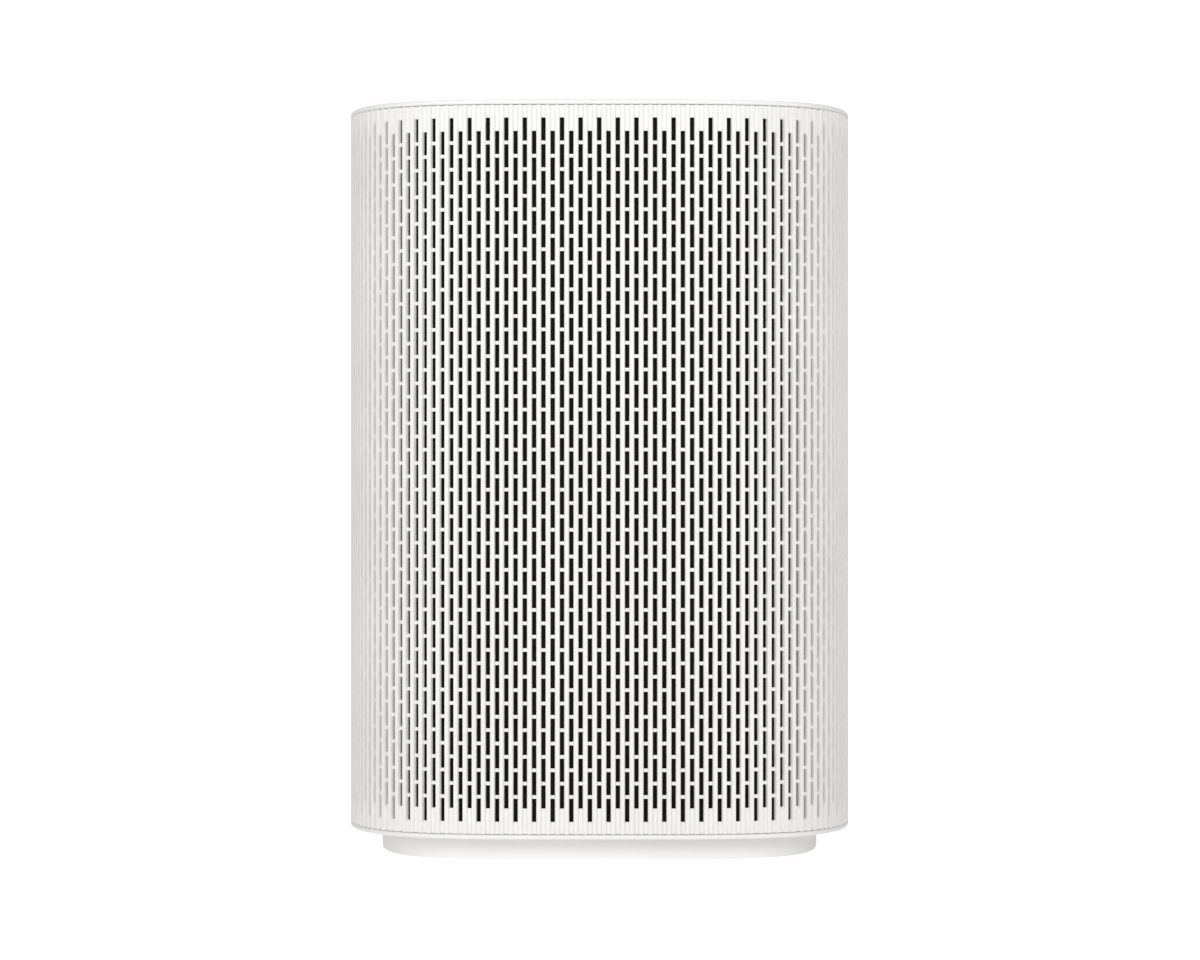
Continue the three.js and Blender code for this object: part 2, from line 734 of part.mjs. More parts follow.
function motorFixed() {
  const tubeBottom = lowerBearingBottom - JOINT_GAP;
  const seat = upperBearingTop - BEARING_HEIGHT - JOINT_GAP;
  const lowerSeat = lowerBearingBottom + BEARING_HEIGHT + JOINT_GAP;
  const mount = turned(
    [
      [tubeInner, tubeBottom],
      [tubeOuter, tubeBottom],
      [tubeOuter, mountBottom],
      [MOUNT_RADIUS, mountBottom],
      [MOUNT_RADIUS, mountTop],
      [tubeInner, mountTop],
      [tubeInner, seat],
      [tubeInner - BEARING_STEP, seat],
      [tubeInner - BEARING_STEP, lowerSeat],
      [tubeInner, lowerSeat],
    ],
    SIDES_MEDIUM,
  );
  const coreInner = tubeOuter + JOINT_GAP;
  const yoke = coreInner + YOKE_WALL;
  const shoe = STATOR_RADIUS - SHOE_WALL;
  const webTop = (coreTop + coreBottom + WEB_HEIGHT) / 2;
  const webBottom = webTop - WEB_HEIGHT;
  const core = turned(
    [
      [coreInner, coreBottom],
      [yoke, coreBottom],
      [yoke, webBottom],
      [shoe, webBottom],
      [shoe, coreBottom],
      [STATOR_RADIUS, coreBottom],
      [STATOR_RADIUS, coreTop],
      [shoe, coreTop],
      [shoe, webTop],
      [yoke, webTop],
      [yoke, coreTop],
      [coreInner, coreTop],
    ],
    SIDES_MEDIUM,
  );
  const coilInner = yoke + JOINT_GAP;
  const coilOuter = shoe - JOINT_GAP;
  const coil = (bottom, top) => ring(coilInner, coilOuter, bottom, top, SIDES_MEDIUM);
  const upperCoil = coil(webTop + JOINT_GAP, coreTop + WINDING_HEIGHT);
  const lowerCoil = coil(coreBottom - WINDING_HEIGHT, webBottom - JOINT_GAP);
  const mountHoles = motorScrewHoles(mountBottom - OVERRUN, mountTop + OVERRUN);
  const bearing = (bottom) =>
    ring(SHAFT_RADIUS + RUNNING_FIT, BEARING_RADIUS, bottom, bottom + BEARING_HEIGHT, SIDES_MEDIUM);
  return [
    part("motor_mount", cut(mount, ...mountHoles), aluminium()),
    part("stator_core", core, laminations()),
    part("winding_upper", upperCoil, copper()),
    part("winding_lower", lowerCoil, copper()),
    part("bearing_lower", bearing(lowerBearingBottom), steel()),
    part("bearing_upper", bearing(upperBearingTop - BEARING_HEIGHT), steel()),
  ];
}

function motorScrews() {
  return motorScrewPlaces.map(({ x, y }, i) => {
    const headBottom = mountTop + JOINT_GAP;
    const head = rod(SCREW_HEAD_RADIUS, headBottom, headBottom + SCREW_HEAD);
    const shank = rod(SCREW_RADIUS, podBottom + JOINT_GAP, headBottom + SINK);
    const screw = part(`motor_screw_${i + 1}`, join(head, shank), steel());
    screw.position.set(x, y, 0);
    return screw;
  });
}

function diffuser() {
  const pod = turned(
    [
      [tubeOuter + JOINT_GAP, podBottom],
      [podRadius, podBottom],
      [podRadius, podTop],
      [podInner, podTop],
      [podInner, podFloor],
      [tubeOuter + JOINT_GAP, podFloor],
    ],
    SIDES_LARGE,
  );
  const bandOuter = housingInner - JOINT_GAP;
  const bandInner = bandOuter - POD_WALL;
  const vaneBottom = podBottom + VANE_RISE;
  const vaneTop = vaneBottom + VANE_HEIGHT;
  const band = ring(bandInner, bandOuter, vaneBottom - SINK, vaneTop + SINK, SIDES_LARGE);
  const vaneInner = podInner + POD_WALL / 2;
  const vaneOuter = bandInner + POD_WALL / 4;
  const vanes = Array.from({ length: VANE_COUNT }, (_, i) => {
    const vane = new THREE.BoxGeometry(vaneOuter - vaneInner, VANE_THICK, VANE_HEIGHT);
    vane.rotateX(radians(VANE_LEAN)).translate((vaneInner + vaneOuter) / 2, 0, (vaneBottom + vaneTop) / 2);
    return vane.rotateZ(radians((360 * i) / VANE_COUNT));
  });
  const body = join(pod, band, ...vanes);
  const holes = motorScrewHoles(podBottom - OVERRUN, podFloor + OVERRUN);
  return part("diffuser", cut(body, ...holes), blackPlastic());
}

function driverBoard() {
  const bottom = shaftTop + BOARD_STANDOFF;
  const board = rod(podInner - CLEARANCE, bottom, bottom + BOARD_THICK, SIDES_MEDIUM);
  return part("driver_board", board, circuitBoard());
}

// ---- Top ----------------------------------------------------------------------------------

function topCap() {
  const collarOuter = housingInner - CLEARANCE;
  const ledgeTop = grilleBottom - JOINT_GAP;
  const ledgeInner = outletRadius - CAP_LEDGE;
  const ledgeBottom = ledgeTop - CAP_LEDGE_THICK;
  const sunk = capBottom + SINK;
  const lining = outletRadius + 0.05; // just behind the rim of the plate's hole
  const plate = slab(plan(0), capBottom, HEIGHT, [circle(outletRadius, SIDES_LARGE)]);
  const skirt = slab(plan(skirtInset), capBottom - CAP_SKIRT, sunk, [plan(skirtInset + SKIRT_WALL)]);
  const collar = turned(
    [
      [lining, sunk],
      [lining, ledgeTop],
      [ledgeInner, ledgeTop],
      [ledgeInner, ledgeBottom],
      [collarOuter, ledgeBottom],
      [collarOuter, sunk],
    ],
    SIDES_LARGE,
  );
  return part("top_cap", join(plate, skirt, collar), whiteShell());
}

function outletGrille() {
  const outer = outletRadius - JOINT_GAP;
  const hoop = (inner) => ring(inner, inner + GRILLE_RING, grilleBottom, grilleTop, SIDES_LARGE);
  const bars = Array.from({ length: GRILLE_BARS }, (_, i) => {
    const from = grilleInner + BAR_SINK;
    const to = outer - BAR_SINK;
    const bar = new THREE.BoxGeometry(to - from, BAR_THICK, GRILLE_THICK - 2 * BAR_STEP);
    bar.translate((from + to) / 2, 0, (grilleBottom + grilleTop) / 2);
    return bar.rotateZ(radians((360 * i) / GRILLE_BARS));
  });
  const hoops = [hoop(grilleInner), hoop(outer - GRILLE_RING)];
  return part("outlet_grille", join(...hoops, ...bars), whiteShell());
}

const buttonPlaces = { power: -BUTTON_SPACING / 2, mode: BUTTON_SPACING / 2 };

function controlPanel() {
  const inner = PANEL_RADIUS - PANEL_THICK;
  const skirt = ring(inner, PANEL_RADIUS, boardTop + JOINT_GAP, panelBottom + SINK, SIDES_LARGE);
  const holes = Object.values(buttonPlaces).map((x) => {
    const centre = circle(BUTTON_RADIUS + JOINT_GAP, SIDES_MEDIUM);
    return centre.map((point) => point.add(new THREE.Vector2(x, 0)));
  });
  const disc = slab(circle(PANEL_RADIUS, SIDES_LARGE), panelBottom, panelTop, holes);
  return part("control_panel", join(disc, skirt), whiteShell());
}

function lightRing() {
  const inner = PANEL_RADIUS + JOINT_GAP;
  return part("light_ring", ring(inner, lightOuter, boardTop, panelTop, SIDES_LARGE), litPlastic());
}

function controlBoard() {
  const board = rod(PANEL_RADIUS, boardTop - BOARD_THICK, boardTop, SIDES_MEDIUM);
  return part("control_board", board, circuitBoard());
}

function buttonParts() {
  return Object.entries(buttonPlaces).flatMap(([name, x]) => {
    const cap = rod(BUTTON_RADIUS, buttonTop - BUTTON_THICK - SINK, buttonTop, SIDES_MEDIUM);
    const flange = rod(BUTTON_RADIUS + FLANGE, buttonFlangeBottom, buttonFlangeTop, SIDES_MEDIUM);
    const stemBottom = boardTop + BUTTON_TRAVEL + 2 * JOINT_GAP;
    const stem = rod(STEM_RADIUS, stemBottom, buttonFlangeTop, SIDES_SMALL);
    const springBottom = boardTop + JOINT_GAP + SPRING_WIRE / 2;
    const springTop = buttonFlangeBottom - JOINT_GAP - SPRING_WIRE / 2;
    const coilRadius = SPRING_RADIUS - SPRING_WIRE / 2;
    const path = new Helix(coilRadius, 0, 360 * SPRING_TURNS, springBottom, springTop);
    const wire = new THREE.Shape(circle(SPRING_WIRE / 2, WIRE_SIDES));
    const coil = new THREE.ExtrudeGeometry(wire, { steps: STEPS_PER_TURN * SPRING_TURNS, extrudePath: path });
    const pieces = [
      part(`${name}_button`, join(cap, flange, stem), whiteShell()),
      part(`${name}_button_spring`, coil, steel()),
    ];
    for (const piece of pieces) piece.position.x = x;
    return pieces;
  });
}

// ---- Shell and prefilter ------------------------------------------------------------------

// Evenly spaced stations round the body's plan, each with its outward direction.
function stations(spacing) {
  const fine = plan(0, PLAN_POWER, FINE_SIDES);
  const loop = [...fine, fine[0]];
  const lengths = [0];
  for (let i = 1; i < loop.length; i += 1) lengths.push(lengths[i - 1] + loop[i].distanceTo(loop[i - 1]));
  const perimeter = lengths.at(-1);
  const count = 2 * Math.round(perimeter / spacing / 2);
  const front = lengths[Math.round((3 * fine.length) / 4)];
  let near = 0;
  return Array.from({ length: count }, (_, i) => (front + (perimeter * i) / count) % perimeter)
    .sort((a, b) => a - b)
    .map((along) => {
      while (lengths[near + 1] < along) near += 1;
      const share = (along - lengths[near]) / (lengths[near + 1] - lengths[near]);
      const point = loop[near].clone().lerp(loop[near + 1], share);
      const forward = loop[near + 1].clone().sub(loop[near]).normalize();
      return { point, forward, outward: new THREE.Vector2(forward.y, -forward.x) };
    });
}

// The grooves between the ribs, with sloping sides, as cutters that reach a little outside the wall.
function grooves() {
  const slope = (GROOVE_MOUTH - GROOVE_FLOOR) / 2 / RIB_DEPTH;
  const halfOutside = GROOVE_MOUTH / 2 + slope * OVERRUN;
  const cutters = stations(COLUMN_PITCH).map(({ point, forward, outward }) => {
    const at = (aside, out) => point.clone().addScaledVector(forward, aside).addScaledVector(outward, out);
    const outline = [
      at(-halfOutside, OVERRUN),
      at(-GROOVE_FLOOR / 2, -RIB_DEPTH),
      at(GROOVE_FLOOR / 2, -RIB_DEPTH),
      at(halfOutside, OVERRUN),
    ];
    return slab(outline, shellBottom + GROOVE_END, shellTop - GROOVE_END);
  });
  return mergeGeometries(cutters);
}

// The window at the back that the power inlet shows through.
function inletWindow(clearance) {
  const halfWidth = INLET_WIDTH / 2 + clearance;
  const halfHeight = INLET_HEIGHT / 2 + clearance;
  return block(
    [-halfWidth, DEPTH / 2 - INLET_DEPTH, inletZ - halfHeight],
    [halfWidth, DEPTH / 2 + OVERRUN, inletZ + halfHeight],
  );
}

function outerShell() {
  const wall = slab(plan(0, PLAN_POWER, SHELL_SIDES), shellBottom, shellTop, [plan(SHELL_WALL)]);
  return part("outer_shell", cut(wall, grooves(), inletWindow(JOINT_GAP)), whiteShell());
}

function prefilterMesh() {
  const wall = slab(plan(meshInset), shellBottom, capBottom - CLEARANCE, [plan(meshInset + MESH_THICK)]);
  return part("prefilter_mesh", cut(wall, inletWindow(CLEARANCE)), darkMesh());
}

// ---- Electrical pieces --------------------------------------------------------------------

// The keyhole of a two-pole socket: two round ends joined by a slightly narrower waist.
function socketOutline() {
  const points = [];
  const end = SOCKET_WIDTH / 2 - SOCKET_HEIGHT / 2;
  for (const side of [1, -1]) {
    for (let i = 0; i <= 8; i += 1) {
      const round = polar(SOCKET_HEIGHT / 2, side * 90 * (i / 4 - 1) * side + (side < 0 ? 180 : 0));
      points.push(round.add(new THREE.Vector2(side * end, 0)));
    }
  }
  return points;
}

function powerInlet() {
  const back = DEPTH / 2;
  const body = block(
    [-INLET_WIDTH / 2, back - INLET_DEPTH, inletZ - INLET_HEIGHT / 2],
    [INLET_WIDTH / 2, back, inletZ + INLET_HEIGHT / 2],
  );
  const socket = slab(socketOutline(), -OVERRUN, SOCKET_DEPTH).rotateX(Math.PI / 2);
  socket.translate(0, back, inletZ);
  const along = (radius, length) => rod(radius, -length, 0).rotateX(-Math.PI / 2);
  const pinXs = [-PIN_SPACING / 2, PIN_SPACING / 2];
  const tail = INLET_DEPTH + OVERRUN;
  const holes = pinXs.map((x) => along(PIN_RADIUS + JOINT_GAP, tail).translate(x, back, inletZ));
  const pieces = [part("power_inlet", cut(body, socket, ...holes), blackPlastic())];
  pinXs.forEach((x, i) => {
    const root = INLET_DEPTH - JOINT_GAP;
    const tip = SOCKET_DEPTH - PIN_LENGTH;
    const pin = part(`inlet_pin_${i + 1}`, along(PIN_RADIUS, root - tip), brass());
    pin.position.set(x, back - tip, inletZ);
    pieces.push(pin);
  });
  return pieces;
}

// A box that stands on the tray by a leg outside the door's path, with its front close to the filter.
// It is drawn facing +X, and its owner turns it to its side of the body.
function standingBox(outer, halfWidth, armBottom, top) {
  const front = filterRadius + 2 * CLEARANCE;
  const legFront = doorRadius + LUG_REACH + 2 * CLEARANCE;
  const arm = block([front, -halfWidth, armBottom], [outer, halfWidth, top]);
  const leg = block([legFront, -halfWidth, trayTop + JOINT_GAP], [outer, halfWidth, top]);
  return join(arm, leg);
}

const armBottom = rampTop + ARM_RISE;

function powerModule() {
  const back = DEPTH / 2 - INLET_DEPTH - JOINT_GAP;
  const body = standingBox(back, MODULE_WIDTH / 2, armBottom, armBottom + MODULE_HEIGHT);
  return part("power_module", body.rotateZ(Math.PI / 2), blackPlastic());
}

function airSensor() {
  const outer = WIDTH / 2 - skirtInset - SKIRT_WALL - CLEARANCE;
  const body = standingBox(outer, SENSOR_WIDTH / 2, armBottom, armBottom + SENSOR_HEIGHT);
  return part("air_sensor", body, blackPlastic());
}

function doorSwitch() {
  const legFront = doorRadius + LUG_REACH + 2 * CLEARANCE;
  const top = armBottom + SWITCH_HEIGHT;
  const body = standingBox(legFront + SWITCH_LEG, SWITCH_WIDTH / 2, armBottom, top);
  const well = rod(PLUNGER_RADIUS + JOINT_GAP, armBottom - OVERRUN, top - SWITCH_ROOF);
  well.translate(plungerOrbit, 0, 0);
  const plungerTop = top - SWITCH_ROOF - 2 * JOINT_GAP;
  const plunger = part("switch_plunger", rod(PLUNGER_RADIUS, rampTop + JOINT_GAP, plungerTop), brass());
  const place = polar(plungerOrbit, SWITCH_ANGLE);
  plunger.position.set(place.x, place.y, 0);
  return [part("door_switch", cut(body, well).rotateZ(radians(SWITCH_ANGLE)), blackPlastic()), plunger];
}

// ---- The whole purifier -------------------------------------------------------------------

const purifier = new THREE.Group();
purifier.name = "air_purifier";
purifier.add(
  baseTray(),
  baseFoot(),
  ...footPads(),
  ...footScrews(),
  ...pillars(),
  filterDoor(),
  doorSeal(),
  ...filterParts(),
  fanDeck(),
  deckSeal(),
  fanHousing(),
  impeller(),
  ...rotorParts(),
  ...motorFixed(),
  ...motorScrews(),
  diffuser(),
  driverBoard(),
  topCap(),
  outletGrille(),
  controlPanel(),
  lightRing(),
  controlBoard(),
  ...buttonParts(),
  outerShell(),
  prefilterMesh(),
  ...powerInlet(),
  powerModule(),
  airSensor(),
  ...doorSwitch(),
);

export default purifier;
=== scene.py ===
# A compact tower air purifier, put together from the floor up.
# Every mesh is drawn in millimetres and turned to metres when its piece is made. Front at -Y, +Z up.
import math

import bmesh
import bpy
import numpy as np
from mathutils import Matrix, Vector


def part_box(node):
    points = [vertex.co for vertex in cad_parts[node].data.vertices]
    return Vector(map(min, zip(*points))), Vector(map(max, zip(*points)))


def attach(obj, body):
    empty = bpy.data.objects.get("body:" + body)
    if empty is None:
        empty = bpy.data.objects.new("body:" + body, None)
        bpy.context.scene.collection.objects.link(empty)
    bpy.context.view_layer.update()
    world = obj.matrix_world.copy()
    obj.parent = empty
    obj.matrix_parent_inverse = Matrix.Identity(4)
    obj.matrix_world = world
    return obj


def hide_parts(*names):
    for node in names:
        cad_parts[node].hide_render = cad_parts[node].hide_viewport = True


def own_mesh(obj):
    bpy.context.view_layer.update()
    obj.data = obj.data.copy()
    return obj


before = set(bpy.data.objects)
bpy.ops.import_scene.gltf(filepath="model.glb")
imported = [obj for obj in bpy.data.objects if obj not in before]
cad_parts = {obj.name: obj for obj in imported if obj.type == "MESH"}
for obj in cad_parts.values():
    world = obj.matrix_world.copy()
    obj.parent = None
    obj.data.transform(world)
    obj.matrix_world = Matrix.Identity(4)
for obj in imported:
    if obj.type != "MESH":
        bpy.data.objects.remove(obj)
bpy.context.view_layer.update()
scene = bpy.context.scene
MM = 0.001

# ---- Studio -----------------------------------------------------------------------------------
# A painted white floor that runs up into a white wall, as in a product studio, lit by a pale room,
# one large softbox in front on the right and a weaker one on the left. The camera is a long lens
# at the height of the middle of the body.


def linear(code):
    """An sRGB hex colour as linear red, green, blue and alpha."""
    parts = [int(code[i:i + 2], 16) / 255 for i in (1, 3, 5)]
    return [c / 12.92 if c <= 0.04045 else ((c + 0.055) / 1.055) ** 2.4 for c in parts] + [1]


def add(tree, kind, settings, feeds=None):
    """Add a node. A setting is a property, an input's value or an output to link; it may feed a socket."""
    made = tree.nodes.new(kind)
    for key, value in settings.items():
        if isinstance(key, str) and hasattr(made, key):
            setattr(made, key, value)
        elif isinstance(value, bpy.types.NodeSocket):
            tree.links.new(value, made.inputs[key])
        else:
            made.inputs[key].default_value = value
    if feeds:
        live = [output for output in made.outputs if output.enabled]
        tree.links.new(live[0], feeds)
    return made


def begin(name, colour, roughness, ior=1.5, metallic=0):
    """A new material with its shader set, and the place on the object that its patterns are drawn by."""
    material = bpy.data.materials.new(name)
    material.use_nodes = True
    tree = material.node_tree
    shader = tree.nodes["Principled BSDF"]
    shader.inputs["Base Color"].default_value = linear(colour)
    shader.inputs["Roughness"].default_value = roughness
    shader.inputs["Metallic"].default_value = metallic
    if not metallic:
        shader.inputs["IOR"].default_value = ior
    return material, tree, shader, add(tree, "ShaderNodeTexCoord", {}).outputs["Object"]


def blotched(tree, shader, place, size_mm, first, second, smoothest, roughest):
    """Let colour and roughness drift between two values over patches of about this size."""
    patches = add(tree, "ShaderNodeTexNoise", {"Vector": place, "Scale": 1 / (size_mm * MM), "Detail": 4.0})
    share = add(tree, "ShaderNodeMapRange", {
        "Value": patches.outputs["Fac"], "From Min": 0.35, "From Max": 0.65})
    add(tree, "ShaderNodeMix", {"data_type": "RGBA", 0: share.outputs["Result"], 6: linear(first),
                                7: linear(second)}, shader.inputs["Base Color"])
    add(tree, "ShaderNodeMapRange", {"Value": patches.outputs["Fac"], "From Min": 0.3, "From Max": 0.7,
                                     "To Min": smoothest, "To Max": roughest}, shader.inputs["Roughness"])


floor_size, floor_curve = 3.0, 0.5
# Matt white paint on board: nearly no gloss, with roller stipple about 3 mm across. It is lit a
# little from behind, so that it stays paler than the white plastic.
painted_board, tree, shader, place = begin("matt_white_painted_board", "#F6F6F5", 0.9, 1.45)
stipple = add(tree, "ShaderNodeTexNoise", {"Vector": place, "Scale": 330.0, "Detail": 2.0})
add(tree, "ShaderNodeBump", {"Height": stipple.outputs["Fac"], "Distance": 0.1 * MM, "Strength": 0.3},
    shader.inputs["Normal"])
shader.inputs["Emission Color"].default_value = linear("#FFFFFF")
seen = add(tree, "ShaderNodeLightPath", {}).outputs["Is Camera Ray"]
add(tree, "ShaderNodeMix", {0: seen, 2: 0.2, 3: 0.9}, shader.inputs["Emission Strength"])

sweep = [(-3 * floor_size, 0.0)]
sweep += [(floor_size - floor_curve + floor_curve * math.sin(a), floor_curve - floor_curve * math.cos(a))
          for a in np.linspace(0, math.pi / 2, 17)]
sweep += [(floor_size, floor_size)]
corners = [(x, y, z) for y, z in sweep for x in (-3 * floor_size, 3 * floor_size)]
floor_mesh = bpy.data.meshes.new("studio_floor")
floor_mesh.from_pydata(corners, [], [(i, i + 1, i + 3, i + 2) for i in range(0, len(corners) - 2, 2)])
floor_mesh.shade_smooth()
floor_mesh.materials.append(painted_board)
floor = bpy.data.objects.new("studio_floor", floor_mesh)
scene.collection.objects.link(floor)

room = bpy.data.worlds.new("pale_room")
room.use_nodes = True
scene.world = room
room_light, seen_light = 0.36, 1.0
walls = room.node_tree.nodes["Background"]
walls.inputs["Color"].default_value = (1, 1, 1, 1)
seen = add(room.node_tree, "ShaderNodeLightPath", {}).outputs["Is Camera Ray"]
add(room.node_tree, "ShaderNodeMix", {0: seen, 2: room_light, 3: seen_light}, walls.inputs["Strength"])

aimed_at = (0, 0, 0.2)
for name, spot, size, watts in (("softbox_right", (0.8, -2.6, 1.4), 1.2, 23.0),
                                ("softbox_left", (-1.2, -2.4, 1.0), 1.2, 16.0)):
    lamp = bpy.data.lights.new(name, "AREA")
    lamp.size = size
    lamp.energy = watts
    softbox = bpy.data.objects.new(name, lamp)
    aim = Vector(spot) - Vector(aimed_at)
    softbox.location = spot
    softbox.rotation_euler = aim.to_track_quat("Z", "Y").to_euler()
    scene.collection.objects.link(softbox)

lens = bpy.data.cameras.new("long_lens")
lens.sensor_width = 36
lens.lens = 96.4
lens.shift_x, lens.shift_y = -0.0053, -0.0082
camera = bpy.data.objects.new("camera", lens)
camera.location = (0.0034, -1.653, 0.188)
camera.rotation_euler = (math.pi / 2, 0, 0)
scene.collection.objects.link(camera)
scene.camera = camera
scene.view_settings.view_transform = "Standard"

# ---- Base tray --------------------------------------------------------------------------------
# The ring that closes the body underneath: one moulding in white ABS with a doorway for the filter,
# four bayonet notches round it, and a skirt that locates the outer shell. Its lower edge is rounded.

WIDTH = DEPTH = 250.0
PLAN_POWER = 4.0
LUGS = [45 + 90 * k for k in range(4)]


def plan(inset, power=PLAN_POWER, count=320):
    """The body's plan, a superellipse drawn in by an inset, as evenly spaced points from the front."""
    turn = np.linspace(-math.pi / 2, 1.5 * math.pi, 8193)
    cos, sin = np.cos(turn), np.sin(turn)
    x = np.sign(cos) * (WIDTH / 2 - inset) * np.abs(cos) ** (2 / power)
    y = np.sign(sin) * (DEPTH / 2 - inset) * np.abs(sin) ** (2 / power)
    along = np.concatenate([[0], np.cumsum(np.hypot(np.diff(x), np.diff(y)))])
    stops = np.linspace(0, along[-1], count, endpoint=False)
    return np.column_stack([np.interp(stops, along, x), np.interp(stops, along, y)])


def arc(radius, start=0.0, end=360.0, count=96, centre=(0, 0)):
    """Points on an arc. A whole circle leaves out its last point, which is its first."""
    turn = np.radians(np.linspace(start, end, count, endpoint=abs(end - start) < 360))
    return np.column_stack([centre[0] + radius * np.cos(turn), centre[1] + radius * np.sin(turn)])


def softened(points, radius, steps=3):
    """A closed outline with its corners rounded. A corner on the axis stays."""
    points = np.asarray(points, float)
    out = []
    for before, corner, after in zip(np.roll(points, 1, 0), points, np.roll(points, -1, 0)):
        reach = min(radius, 0.45 * np.linalg.norm(before - corner), 0.45 * np.linalg.norm(after - corner))
        if corner[0] == 0 or radius == 0:
            out.append(corner)
            continue
        a = corner + (before - corner) / np.linalg.norm(before - corner) * reach
        b = corner + (after - corner) / np.linalg.norm(after - corner) * reach
        out += [(1 - t) ** 2 * a + 2 * t * (1 - t) * corner + t * t * b for t in np.linspace(0, 1, steps + 1)]
    return out


def welded(verts, faces):
    """A mesh with its doubled points joined and its faces turned outwards."""
    mesh = bpy.data.meshes.new("shape")
    mesh.from_pydata([tuple(v) for v in verts], [], faces)
    work = bmesh.new()
    work.from_mesh(mesh)
    bmesh.ops.remove_doubles(work, verts=work.verts, dist=1e-4)
    bmesh.ops.recalc_face_normals(work, faces=work.faces)
    work.to_mesh(mesh)
    work.free()
    return mesh


def turned(profile, sides=128, edge=0.25):
    """A closed [radius, level] profile turned about Z, with its edges rounded."""
    line = softened(profile, edge)
    angles = np.radians(np.linspace(0, 360, sides, endpoint=False))
    verts = [(r * math.cos(a), r * math.sin(a), z) for a in angles for r, z in line]
    n = len(line)
    faces = [(i * n + j, (i + 1) % sides * n + j, (i + 1) % sides * n + (j + 1) % n, i * n + (j + 1) % n)
             for i in range(sides) for j in range(n)]
    return welded(verts, faces)


def slab(loops, bottom, top, edge=0.3):
    """A plate from closed outlines, the first outside and the rest holes, with its edges rounded."""
    curve = bpy.data.curves.new("outline", "CURVE")
    curve.dimensions = "2D"
    curve.fill_mode = "BOTH"
    curve.extrude = (top - bottom) / 2 - edge
    curve.bevel_depth = edge
    curve.offset = -edge
    curve.bevel_resolution = 2 if edge else 0
    for loop in loops:
        spline = curve.splines.new("POLY")
        spline.points.add(len(loop) - 1)
        for point, (x, y) in zip(spline.points, loop):
            point.co = (x, y, 0, 1)
        spline.use_cyclic_u = True
    holder = bpy.data.objects.new("outline", curve)
    drawn = bpy.data.meshes.new_from_object(holder)
    verts = [(v.co.x, v.co.y, v.co.z + (top + bottom) / 2) for v in drawn.vertices]
    return welded(verts, [tuple(p.vertices) for p in drawn.polygons])


def moved(mesh, x=0.0, y=0.0, z=0.0, turn=0.0):
    """A copy of a mesh turned about Z, in degrees, after it is shifted."""
    made = mesh.copy()
    made.transform(Matrix.Rotation(math.radians(turn), 4, "Z") @ Matrix.Translation((x, y, z)))
    return made


def combined(base, tools, operation="DIFFERENCE"):
    """One solid from a base mesh and others, cut from it or joined to it."""
    holder = bpy.data.objects.new("base", base)
    scene.collection.objects.link(holder)
    others = []
    for tool in tools:
        other = bpy.data.objects.new("tool", tool)
        scene.collection.objects.link(other)
        others.append(other)
        step = holder.modifiers.new("step", "BOOLEAN")
        step.operation, step.solver, step.object = operation, "MANIFOLD", other
    bpy.context.view_layer.update()
    made = bpy.data.meshes.new_from_object(holder.evaluated_get(bpy.context.evaluated_depsgraph_get()))
    for spent in [holder, *others]:
        bpy.data.objects.remove(spent)
    if not made.polygons:
        raise RuntimeError("a combined shape came out empty")
    return made


def piece(name, mesh, material, angle=32):
    """A piece in metres, smooth where its faces meet at less than this angle."""
    mesh.transform(Matrix.Scale(0.001, 4))
    mesh.materials.clear()
    mesh.materials.append(material)
    mesh.shade_smooth()
    mesh.set_sharp_from_angle(angle=math.radians(angle))
    mesh.name = name
    made = bpy.data.objects.new(name, mesh)
    scene.collection.objects.link(made)
    return made


def moulded(name, first, second, smoothest, roughest, grain_mm, depth_mm, ior=1.53):
    """A moulded polymer: two close shades in broad soft patches, and the grain of its steel mould."""
    material, tree, shader, place = begin(name, first, smoothest, ior)
    blotched(tree, shader, place, 45, first, second, smoothest, roughest)
    grain = add(tree, "ShaderNodeTexNoise", {"Vector": place, "Scale": 1000 / grain_mm, "Detail": 2.0})
    add(tree, "ShaderNodeBump", {"Height": grain.outputs["Fac"], "Distance": depth_mm * MM, "Strength": 0.5},
        shader.inputs["Normal"])
    return material


# ABS from a finely spark-eroded mould: an even, soft sheen. The grain is 0.2 mm and drawn at 0.6.
white_abs = moulded("white_abs_fine_spark_texture", "#FBFAF8", "#F7F6F4", 0.44, 0.54, 0.6, 0.02)

foot = {"inset": 15.9, "power": 4.4, "bottom": 0.8, "top": 12.0}
tray = {"bottom": 12.3, "top": 14.4, "skirt_inset": 4.5, "skirt_wall": 2.0, "skirt_top": 23.4}
door_hole, notch_reach, notch_half, twist = 96.5, 99.7, 13.0, 25.0
pillar_places = [arc(110, 33 + a, 34 + a, 2)[0] for a in (0, 90, 180, 270)]


def doorway(bottom, top):
    """The round way that the filter passes through, with a notch for each lug of the door."""
    outline = []
    for lug in LUGS:
        middle = lug + twist
        outline += list(arc(notch_reach, middle - notch_half, middle + notch_half, 16))
        outline += list(arc(door_hole, middle + notch_half, middle + 90 - notch_half, 24))
    return slab([outline], bottom, top, 0)


def drills(radius, spots, low, high, sides=24):
    """Round cutters at some places, one for each hole."""
    return [slab([arc(radius, count=sides, centre=spot)], low, high, 0) for spot in spots]


screw_hole = 1.8
tray_top_plate = slab([plan(0)], tray["bottom"], tray["top"], 0.55)
tray_skirt = slab([plan(tray["skirt_inset"]), plan(tray["skirt_inset"] + tray["skirt_wall"])],
                  tray["top"] - 1, tray["skirt_top"], 0.3)
tray_cuts = [doorway(tray["bottom"] - 1, tray["top"] + 1)]
tray_cuts += drills(screw_hole, pillar_places, tray["bottom"] - 1, tray["top"] + 1)
tray_solid = combined(combined(tray_top_plate, [tray_skirt], "UNION"), tray_cuts)
base_tray = piece("tray_ring", tray_solid, white_abs)
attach(base_tray, "chassis")
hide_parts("base_tray")

